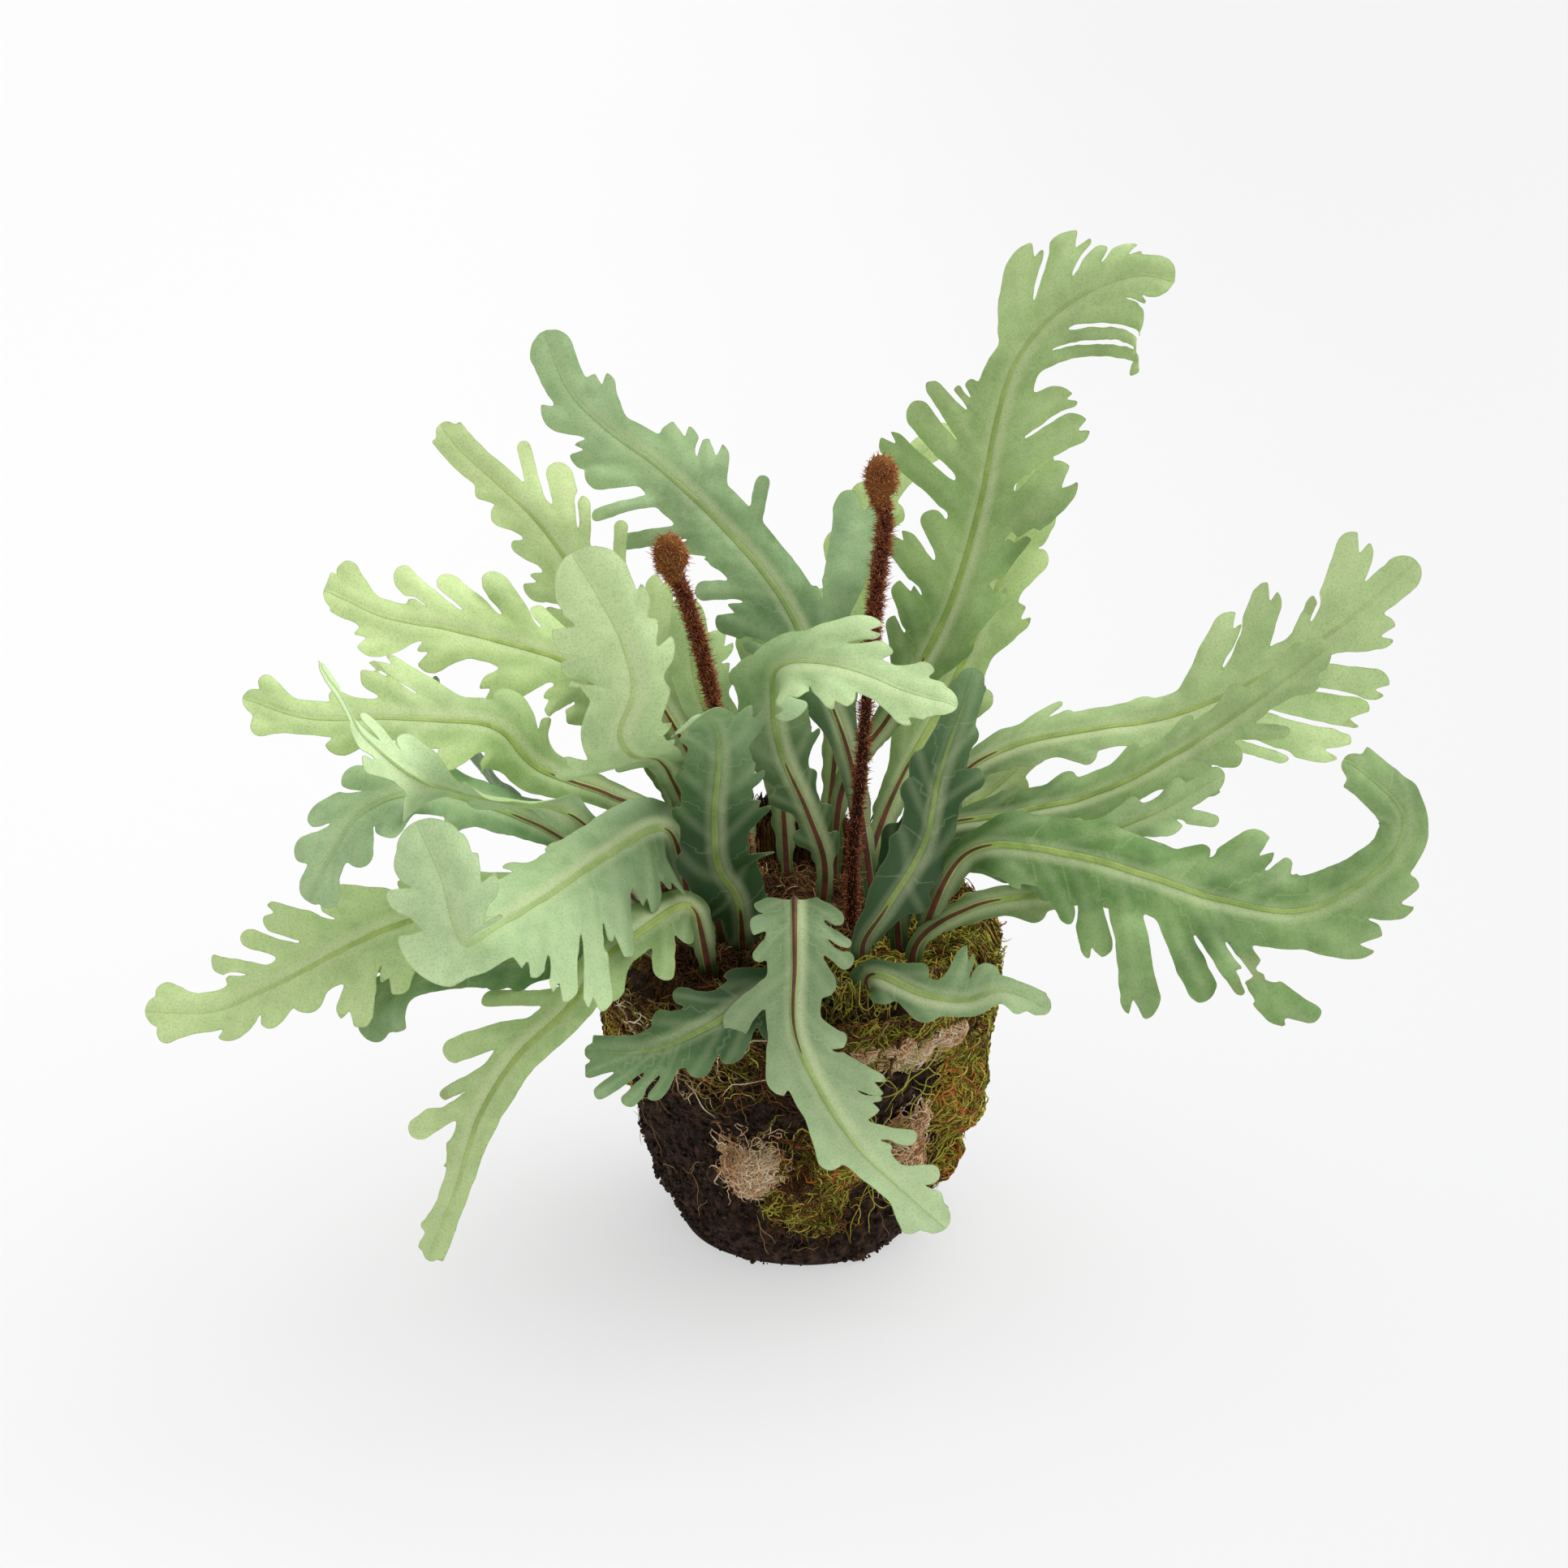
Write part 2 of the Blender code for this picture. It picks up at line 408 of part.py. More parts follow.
def side_vectors(curve, faces):
    """Unit tangents and, across them, the way the blade's width runs, given where it faces."""
    tangents = unit(np.gradient(curve, axis=0))
    faces = unit(np.asarray(faces, float))
    place = np.linspace(0.0, len(faces) - 1.0, len(curve))
    looks = np.column_stack([np.interp(place, np.arange(len(faces)), faces[:, k]) for k in range(3)])
    sides = unit(np.cross(tangents, looks))
    for i in range(1, len(sides)):
        if sides[i] @ sides[i - 1] < 0:
            sides[i] *= -1
    sides = smooth_rows(sides)
    sides -= np.sum(sides * tangents, axis=1, keepdims=True) * tangents
    return tangents, unit(sides)


# The flat shape of a blade, as a signed distance that is negative inside.


def blend(first, second, reach):
    """The smaller of two distances, rounded where they meet."""
    share = np.maximum(reach - np.abs(first - second), 0.0) / reach
    return np.minimum(first, second) - share * share * reach / 4


def capsule(along, across, start, end, start_radius, end_radius):
    """Distance to a straight lobe whose radius changes from start to end, and the place along it."""
    run = np.subtract(end, start)
    place = ((along - start[0]) * run[0] + (across - start[1]) * run[1]) / (run @ run)
    place = np.clip(place, 0.0, 1.0)
    apart = np.hypot(along - start[0] - place * run[0], across - start[1] - place * run[1])
    return apart - (start_radius + (end_radius - start_radius) * place), place


def lobe_ends(lobe):
    """Start and end centres of a lobe, so that its rounded end just reaches its tip, and its half width."""
    root, at, out, half = lobe[:4]
    half = half + float(np.clip(LOBE_FULLNESS * (half - SLENDER_HALF), SLENDER_EXTRA, BROAD_EXTRA))
    start = np.array([root, 0.0])
    tip = np.array([at, out], float)
    return start, tip - half * unit(tip - start), half


def lobe_distance(along, across, lobe):
    """Distance to one lobe; a broad lobe has a notch in its round end."""
    start, end, half = lobe_ends(lobe)
    shape, place = capsule(along, across, start, end, LOBE_ROOT_SHARE * half + LOBE_ROOT_EXTRA, half)
    if half > NOTCHED_HALF:
        out = unit(end - start)
        ahead = (along - end[0]) * out[0] + (across - end[1]) * out[1]
        aside = (across - end[1]) * out[0] - (along - end[0]) * out[1]
        notch = NOTCH_SLOPE * (ahead - NOTCH_DEPTH * half) - np.abs(aside - NOTCH_ASIDE * half)
        shape = np.maximum(shape, notch)
    return shape, place


def core_half_width(along, frond, length):
    """Half width of the winged petiole and of the blade between its lobes."""
    wing = np.clip(along / frond["blade"], 0.0, 1.0) ** WING_GROWTH
    petiole = PETIOLE_HALF_WIDTH + (WING_HALF_WIDTH - PETIOLE_HALF_WIDTH) * wing
    grown = np.clip((along - frond["blade"]) / BLADE_TAPER, 0.0, 1.0)
    grown = grown * grown * (3 - 2 * grown)
    narrowing = np.clip((length - along) / (NARROWING_SHARE * length), TIP_SHARE, 1.0)
    blade = PETIOLE_HALF_WIDTH + (CORE_FULLNESS * frond["core"] - PETIOLE_HALF_WIDTH) * narrowing
    return petiole + (blade - petiole) * grown


def nearest_lobes(along, across, frond, length):
    """Distances to the nearest and the next nearest lobe, and which lobe is nearest; 0 is the tip."""
    tip = frond["tip"]
    tip_start = (length - TIP_LENGTH * tip, 0.0)
    nearest, _ = capsule(along, across, tip_start, (length - tip, 0.0), TIP_ROOT_SHARE * tip, tip)
    second = np.full(along.shape, np.inf)
    which = np.zeros(along.shape, int)
    for number, lobe in enumerate(frond["lobes"], 1):
        shape, _ = lobe_distance(along, across, lobe)
        which[shape < nearest] = number
        second = np.minimum(second, np.maximum(nearest, shape))
        nearest = np.minimum(nearest, shape)
    return nearest, second, which


def blade_distance(along, across, frond, length):
    """Distance to a frond's outline: the core with its lobes, which narrow slits keep apart."""
    core = core_half_width(along, frond, length)
    distance = np.abs(across) - core
    distance = np.maximum(distance, np.maximum(-along, along - (length - frond["tip"])))
    nearest, second, _ = nearest_lobes(along, across, frond, length)
    slit = np.minimum(SLIT_SLOPE * (np.abs(across) - core), SLIT_HALF)
    slit = np.where(along > frond.get("whole", math.inf), -math.inf, slit)
    lobes = np.maximum(nearest, slit - (second - nearest) / 2)
    return np.maximum(blend(distance, lobes, LOBE_WEB), PETIOLE_START - along)


def lobe_droop(along, across, frond):
    """How far the lobes with a droop hang down at each place on the blade."""
    droop = np.zeros_like(along)
    for lobe in frond["lobes"]:
        if len(lobe) > 4:
            distance, place = lobe_distance(along, across, lobe)
            inside = np.clip(1.0 - np.maximum(distance, 0.0) / DROOP_WEB, 0.0, 1.0)
            droop = np.maximum(droop, lobe[4] * inside * place * place)
    return droop


# From the distance to an outline, and from the outline to a thin closed solid.


def trace_outline(distance, along, across):
    """The longest closed line on which the gridded distance is zero."""
    inside = distance < 0
    corner_mask = (inside[:-1, :-1] * 1 + inside[1:, :-1] * 2 + inside[1:, 1:] * 4 + inside[:-1, 1:] * 8)
    # Cell sides are 0 bottom, 1 right, 2 top, 3 left; each pair leads from one side to another.
    steps = {1: ((3, 0),), 2: ((0, 1),), 3: ((3, 1),), 4: ((1, 2),), 5: ((3, 0), (1, 2)), 6: ((0, 2),),
             7: ((3, 2),), 8: ((2, 3),), 9: ((2, 0),), 10: ((0, 1), (2, 3)), 11: ((2, 1),),
             12: ((1, 3),), 13: ((1, 0),), 14: ((0, 3),)}

    def side_key(i, j, side):
        return ((i, j, 0), (i + 1, j, 1), (i, j + 1, 0), (i, j, 1))[side]

    follow = {}
    for i, j in np.argwhere((corner_mask > 0) & (corner_mask < 15)):
        for first, second in steps[int(corner_mask[i, j])]:
            follow[side_key(i, j, first)] = side_key(i, j, second)

    def crossing(key):
        i, j, upright = key
        k, m = (i, j + 1) if upright else (i + 1, j)
        share = distance[i, j] / (distance[i, j] - distance[k, m])
        return (along[i] + (along[k] - along[i]) * share, across[j] + (across[m] - across[j]) * share)

    longest = []
    while follow:
        key, nxt = follow.popitem()
        loop = [key]
        while nxt in follow:
            loop.append(nxt)
            nxt = follow.pop(nxt)
        if len(loop) > len(longest):
            longest = loop
    return np.array([crossing(key) for key in longest])


def simplify(line, tolerance):
    """Keep the points of an open line that matter by more than the tolerance."""
    if len(line) < 3:
        return line
    run = line[-1] - line[0]
    size = np.hypot(*run)
    offsets = line - line[0]
    if size < 1e-9:
        away = np.hypot(offsets[:, 0], offsets[:, 1])
    else:
        away = np.abs(offsets[:, 0] * run[1] - offsets[:, 1] * run[0]) / size
    worst = int(np.argmax(away))
    if away[worst] <= tolerance:
        return line[[0, -1]]
    return np.vstack([simplify(line[: worst + 1], tolerance)[:-1], simplify(line[worst:], tolerance)])


def simplify_loop(loop, tolerance):
    first = int(np.argmin(loop[:, 0]))
    loop = np.roll(loop, -first, axis=0)
    far = int(np.argmax(loop[:, 0]))
    there = simplify(loop[: far + 1], tolerance)
    back = simplify(np.vstack([loop[far:], loop[:1]]), tolerance)
    return np.vstack([there[:-1], back[:-1]])


def edge_limit(curve_turn, along):
    """Longest edge allowed at a place on the rib: short where the rib folds over."""
    turn = np.interp(along, np.arange(len(curve_turn)), curve_turn)
    return np.where(turn > FOLD_TURN, FOLD_EDGE, LONG_EDGE)


def split_long_edges(loop, curve_turn):
    pieces = []
    for start, end in zip(loop, np.roll(loop, -1, axis=0)):
        limit = edge_limit(curve_turn, (start[0] + end[0]) / 2)
        count = max(1, math.ceil(abs(end[0] - start[0]) / limit))
        share = np.linspace(0.0, 1.0, count, endpoint=False)[:, None]
        pieces.append(start + (end - start) * share)
    return np.vstack(pieces)


def rib_stations(curve_turn, length, tip):
    places = [RIB_FIRST_POINT]
    while places[-1] < length - tip:
        places.append(places[-1] + RIB_SPACING_SHARE * float(edge_limit(curve_turn, places[-1])))
    return [(place, 0.0) for place in places[:-1]]


def fill_outline(outline, inner):
    """Triangles over an outline and the points inside it."""
    points = [tuple(point) for point in outline] + [tuple(point) for point in inner]
    ring = list(range(len(outline)))
    edges = list(zip(ring, ring[1:] + ring[:1]))
    made, _, triangles, origins, _, _ = delaunay_2d_cdt(points, edges, [ring], 1, 1e-6)
    return np.array([tuple(point) for point in made]), triangles


def rib_turn(tangents):
    """Turning of the rib in radians per millimetre, evened out over some millimetres."""
    turn = np.linalg.norm(np.gradient(tangents, axis=0), axis=1)
    window = np.ones(RIB_TURN_WINDOW) / RIB_TURN_WINDOW
    return np.convolve(np.pad(turn, RIB_TURN_WINDOW // 2, mode="edge"), window, "valid")


def place_on_frond(flat, frond, curve, stations, tangents, sides):
    """Points in space for places on the flat blade, and the way the blade faces there."""
    along, across = flat[:, 0], flat[:, 1]

    def read(rows):
        return np.column_stack([np.interp(along, stations, rows[:, k]) for k in range(3)])

    side = unit(read(sides))
    facing = unit(np.cross(side, read(tangents)))
    reach = np.abs(across) / WAVE_REACH
    phase = frond["blade"] + np.where(across > 0, 0.0, WAVE_SHIFT)
    lift = WAVE_HEIGHT * np.sin(2 * math.pi * along / WAVE_LENGTH + phase) * reach**WAVE_GROWTH
    points = read(curve) + across[:, None] * side + lift[:, None] * facing
    points[:, 2] -= lobe_droop(along, across, frond)
    return points, facing


def thin_solid(points, facing, triangles, thickness):
    """A closed solid of even thickness around a sheet of triangles."""
    count = len(points)
    front = points + facing * thickness / 2
    back = points - facing * thickness / 2
    faces = [tuple(t) for t in triangles]
    faces += [tuple(count + i for i in reversed(t)) for t in triangles]
    rims = {}
    for t in triangles:
        for a, b in zip(t, t[1:] + t[:1]):
            rims[(a, b)] = (b, a) not in rims
            if not rims[(a, b)]:
                del rims[(a, b)]
                del rims[(b, a)]
    for a, b in rims:
        faces.append((a, count + a, b))
        faces.append((b, count + a, count + b))
    return np.vstack([front, back]), faces


def build_frond(name, frond, look):
    rib = [list(point) for point in frond["rib"]]
    rib[0][2] = ROOT_START
    curve, stations = smooth_curve(rib)
    tangents, sides = side_vectors(curve, frond["face"])
    length = stations[-1]
    half = max(abs(lobe[2]) for lobe in frond["lobes"]) + GRID_MARGIN
    along = np.arange(-3.0, length + 6.0, CELL)
    across = np.arange(-half, half + CELL, CELL)
    grid = np.meshgrid(along, across, indexing="ij")
    outline = trace_outline(blade_distance(*grid, frond, length), along, across)
    turn = rib_turn(tangents)
    outline = split_long_edges(simplify_loop(outline, OUTLINE_TOLERANCE), turn)
    flat, triangles = fill_outline(outline, rib_stations(turn, length, frond["tip"]))
    points, facing = place_on_frond(flat, frond, curve, stations, tangents, sides)
    solid, faces = thin_solid(points, facing, [tuple(t) for t in triangles], FROND_THICKNESS)
    add_object(name, solid, faces, look)


# The coiled young fronds.


def head_radius(before_end, stalk, head_half, head_length):
    """Radius along a young frond: the stalk, then an egg-shaped coiled head."""
    if before_end > head_length:
        return stalk
    round_part = math.sqrt(max(0.0, 1.0 - (2 * before_end / head_length - 1.0) ** 2))
    return max(head_half * round_part, stalk if before_end > head_length / 2 else HEAD_END_RADIUS)


def build_fiddlehead(name, shape, look):
    path = [list(point) for point in shape["path"]]
    path[0][2] = ROOT_START + STALK_CLEAR
    curve, stations = smooth_curve(path, step=0.5)
    tangents, sides = side_vectors(curve, (FRONT,))
    head_half, head_length = shape["head"]
    stalk_steps = list(np.linspace(0.0, stations[-1] - head_length, STALK_RINGS))
    head_steps = list(stations[-1] - head_length * np.array(HEAD_RINGS))
    points = []
    for place in stalk_steps + head_steps:
        i = int(round(place / stations[-1] * (len(stations) - 1)))
        radius = head_radius(stations[-1] - place, shape["stalk"], head_half, head_length)
        up = np.cross(sides[i], tangents[i])
        for k in range(FIDDLEHEAD_SIDES):
            angle = 2 * math.pi * k / FIDDLEHEAD_SIDES
            points.append(curve[i] + radius * (math.cos(angle) * sides[i] + math.sin(angle) * up))
    rings = len(stalk_steps) + len(head_steps)
    faces = tube_faces(rings, FIDDLEHEAD_SIDES)
    add_object(name, points, faces, look)


def tube_faces(rings, count):
    faces = [tuple(reversed(range(count)))]
    for ring in range(rings - 1):
        for k in range(count):
            a = ring * count + k
            b = ring * count + (k + 1) % count
            faces.append((a, b, b + count))
            faces.append((a, b + count, a + count))
    last = (rings - 1) * count
    faces.append(tuple(last + k for k in range(count)))
    return faces


# The root ball and what lies on it.


def ball_radius(angle, height):
    """Radius of the ball's side: a pot's taper with lumps, and a rounded lower edge."""
    share = min(max(height / RIM_HEIGHT, 0.0), 1.0)
    radius = BASE_RADIUS + (RIM_RADIUS - BASE_RADIUS) * share
    rounding = LOWER_ROUNDING * max(0.0, 1.0 - share / LOWER_SHARE) ** 2
    lumps = 0.0
    for count, lean, part, start in LUMP_WAVES:
        lumps += part * math.sin(count * angle + lean * height + start)
    fade = math.sin(math.pi * (LUMP_FADE_START + LUMP_FADE_SPAN * share))
    return radius - rounding + LUMP * lumps * fade


def top_height(angle, radius):
    """Height of the ball's top: flat in the crown, with a soft swell towards the rim."""
    swell = math.exp(-(((radius - SWELL_RADIUS) / SWELL_WIDTH) ** 2))
    return TOP_HEIGHT - SWELL_DEPTH * swell * (1.0 + math.sin(2 * angle + SWELL_START))


def build_root_ball(look):
    heights = np.linspace(0.0, RIM_HEIGHT, SIDE_LEVELS)
    angles = np.linspace(0.0, 2 * math.pi, BALL_SEGMENTS, endpoint=False)
    points = []
    for height in heights:
        for angle in angles:
            radius = ball_radius(angle, height)
            points.append((radius * math.cos(angle), radius * math.sin(angle), height))
    for radius in TOP_RINGS:
        for angle in angles:
            height = top_height(angle, radius) - (SHOULDER_DROP if radius == TOP_RINGS[0] else 0.0)
            points.append((radius * math.cos(angle), radius * math.sin(angle), height))
    faces = tube_faces(SIDE_LEVELS + len(TOP_RINGS), BALL_SEGMENTS)
    add_object("root_ball", points, faces, look)


def plaster_rise(u, v):
    """Share of a plaster's full thickness at a place on it: thin at its edges and a little uneven."""
    spread = 1.0 - 2 * PLASTER_EDGE
    rise = math.sin(math.pi * (PLASTER_EDGE + spread * u)) * math.sin(math.pi * (PLASTER_EDGE + spread * v))
    uneven = 1.0 + UNEVENNESS * math.sin(9 * u + 4 * v) * math.sin(7 * v + 2)
    return uneven * rise**PLASTER_FULLNESS


def plaster(name, corner_point, thickness, columns, rows, look):
    """A lens-like closed slab over a curved base; corner_point gives base point and outward way."""
    base, cover = [], []
    for i in range(columns + 1):
        for j in range(rows + 1):
            u, v = i / columns, j / rows
            point, outward = corner_point(u, v)
            base.append(point + outward * MOSS_GAP)
            cover.append(point + outward * (MOSS_GAP + thickness * plaster_rise(u, v)))
    count = len(base)
    faces = []
    for i in range(columns):
        for j in range(rows):
            a = i * (rows + 1) + j
            b, c, d = a + rows + 1, a + rows + 2, a + 1
            faces += [(a, b, c), (a, c, d)]
            faces += [(count + a, count + c, count + b), (count + a, count + d, count + c)]
    rim = list(range(rows + 1)) + [i * (rows + 1) + rows for i in range(1, columns + 1)]
    rim += [columns * (rows + 1) + j for j in range(rows - 1, -1, -1)]
    rim += [i * (rows + 1) for i in range(columns - 1, 0, -1)]
    for a, b in zip(rim, rim[1:] + rim[:1]):
        faces += [(a, b, count + b), (a, count + b, count + a)]
    add_object(name, base + cover, faces, look)


def side_corner(patch):
    from_angle, to_angle, low, high, _ = patch

    def corner(u, v):
        angle = math.radians(from_angle + (to_angle - from_angle) * u)
        height = low + (high - low) * v
        radius = ball_radius(angle, height)
        outward = np.array([math.cos(angle), math.sin(angle), 0.0])
        return np.array([0.0, 0.0, height]) + outward * radius, outward

    return corner


def top_corner(patch):
    from_angle, to_angle, inner, outer, _ = patch

    def corner(u, v):
        angle = math.radians(from_angle + (to_angle - from_angle) * u)
        radius = inner + (outer - inner) * v
        height = max(top_height(angle, radius), TOP_HEIGHT - TOP_BASE_DROP)
        return np.array([radius * math.cos(angle), radius * math.sin(angle), height]), np.array([0, 0, 1.0])

    return corner


def build_plasters(moss, dried):
    for name, patch in SIDE_PATCHES.items():
        look = dried if name.startswith("dry") else moss
        columns = max(2, round((patch[1] - patch[0]) / SIDE_COLUMN_DEGREES))
        rows = max(2, round((patch[3] - patch[2]) / SIDE_ROW_HEIGHT))
        plaster(name, side_corner(patch), patch[4], columns, rows, look)
    for name, patch in TOP_PATCHES.items():
        columns = round((patch[1] - patch[0]) / TOP_COLUMN_DEGREES)
        plaster(name, top_corner(patch), patch[4], columns, TOP_ROWS, moss)


def main():
    clear_scene()
    leaf = material("frond_green", (0.26, 0.42, 0.24), 0.5)
    young = material("young_frond_hair", (0.28, 0.10, 0.05), 0.9)
    soil = material("soil", (0.035, 0.022, 0.015), 0.95)
    moss = material("moss", (0.13, 0.14, 0.03), 0.95)
    dried = material("dried_moss", (0.55, 0.40, 0.26), 0.95)
    build_root_ball(soil)
    build_plasters(moss, dried)
    for name, shape in FIDDLEHEADS.items():
        build_fiddlehead(name, shape, young)
    for name, frond in FRONDS.items():
        build_frond(name, frond, leaf)


main()
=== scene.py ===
import itertools
import math

import bpy
import numpy as np
from mathutils.geometry import delaunay_2d_cdt
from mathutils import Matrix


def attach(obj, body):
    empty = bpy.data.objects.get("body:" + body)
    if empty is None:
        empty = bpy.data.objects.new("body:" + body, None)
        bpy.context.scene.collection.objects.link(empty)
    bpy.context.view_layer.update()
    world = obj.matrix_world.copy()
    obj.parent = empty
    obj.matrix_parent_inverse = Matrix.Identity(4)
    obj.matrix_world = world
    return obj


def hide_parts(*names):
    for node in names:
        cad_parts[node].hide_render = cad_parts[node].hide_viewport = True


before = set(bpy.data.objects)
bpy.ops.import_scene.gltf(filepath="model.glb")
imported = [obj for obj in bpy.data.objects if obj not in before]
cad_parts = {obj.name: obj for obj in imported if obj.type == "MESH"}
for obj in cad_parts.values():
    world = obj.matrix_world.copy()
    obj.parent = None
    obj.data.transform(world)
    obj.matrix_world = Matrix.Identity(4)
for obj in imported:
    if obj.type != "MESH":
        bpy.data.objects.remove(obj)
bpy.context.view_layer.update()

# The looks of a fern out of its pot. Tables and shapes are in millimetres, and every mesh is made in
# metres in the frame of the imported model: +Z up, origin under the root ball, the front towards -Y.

MM = 0.001

# The root ball, shaped as the CAD has it.
BASE_RADIUS = 54.0
RIM_RADIUS = 81.0
RIM_HEIGHT = 118.0
TOP_HEIGHT = 128.0
LUMP = 1.8
LUMP_WAVES = ((3, 0.04, 1.0, 0.0), (5, -0.07, 0.7, 1.0))
LUMP_FADE_START = 0.15
LUMP_FADE_SPAN = 0.7
LOWER_ROUNDING = 4.0
LOWER_SHARE = 0.12
SWELL_RADIUS = 66.0
SWELL_WIDTH = 12.0
SWELL_DEPTH = 1.5
SWELL_START = 0.5

# The outline of a frond, as the CAD has it but with wider wings and narrower slits.
WING_HALF_WIDTH = 6.5
LOBE_WEB = 1.5
SLIT_SLOPE = 0.22
SLIT_HALF = 0.7
LOBE_ROOT_SHARE = 0.75
LOBE_ROOT_EXTRA = 1.0
TIP_LENGTH = 2.6
TIP_ROOT_SHARE = 0.8
GRID_MARGIN = 16.0
PETIOLE_HALF_WIDTH = 2.6
WING_GROWTH = 1.6
PETIOLE_START = 2.5
BLADE_TAPER = 26.0
CORE_FULLNESS = 1.3
NARROWING_SHARE = 0.3
TIP_SHARE = 0.55
SLENDER_HALF = 2.5
LOBE_FULLNESS = 0.8
SLENDER_EXTRA = 0.2
BROAD_EXTRA = 1.2
NOTCHED_HALF = 5.5
NOTCH_SLOPE = 0.45
NOTCH_DEPTH = 0.1
NOTCH_ASIDE = 0.3
DROOP_WEB = 3.0
WAVE_LENGTH = 52.0
WAVE_HEIGHT = 2.6
WAVE_REACH = 30.0
WAVE_GROWTH = 1.5
WAVE_SHIFT = 1.9

# The fine surface of a frond.
CELL = 0.6
OUTLINE_STEP = 1.0
INNER_STEP = 2.0
EDGE_CLEAR = 0.8
RIPPLE = 0.35
WING_RIPPLE = 0.9
LEAF_THICKNESS = 0.5
LEAF_EDGE_THICKNESS = 0.22
RIB_BASE_RADIUS = 1.6
RIB_TIP_RADIUS = 0.5
RIB_LINES = (0.0, 0.45, 0.8, 1.0, 1.25)
RIB_STEP = 1.8
SUNK = 5.0
LOBE_LIFT = 5.5
LOBE_TILT = 1.8
PILLOW = 0.8
LOBE_JOIN = 3.0

# Painted shade: leaves are coloured darker near the middle of the crown, where the fronds shade one
# another.
CROWN = (0.0, -20.0, 160.0)
CROWN_NEAR = 50.0
CROWN_FADE = 90.0

# The ball's surface and what lies loose on it.
BALL_COLUMNS = 430
SIDE_STEPS = 112
TOP_STEPS = 62
GRAINS = 8500
NEEDLES = 3400
LONG_STRANDS = 60
PALE_ROOTS = 26
THIN_ROOTS = 90
CROWN_FIBRES = 4200
CROWN_MOSS = 1800
PATCH_STRANDS = 520
TOP_PATCH_STRANDS = 2600
MORE_STRANDS = {
    "moss_right_band": 1800, "moss_front_low": 900, "moss_left_edge": 700, "dry_tuft_front_high": 800,
}
STEEP_THICKNESS = 10.0

# The young fronds.
HAIRS = 9000
HAIR_RADIUS = 0.15
CORE_SIDES = 12

# The studio. The world is brighter towards LIGHT_WAY, and the floor glows a little.
WORLD_LOW = 0.5
WORLD_HIGH = 2.4
WORLD_FOCUS = 6.0
LIGHT_WAY = (0.5, 0.3, 0.81)
KEY_POWER = 4.0
FLOOR_GLOW = 0.58
FLOOR_HALF = 40.0
CAMERA_PITCH = 22.0
CAMERA_AWAY = 1.30
CAMERA_AIM = (-0.006, 0.0, 0.19)

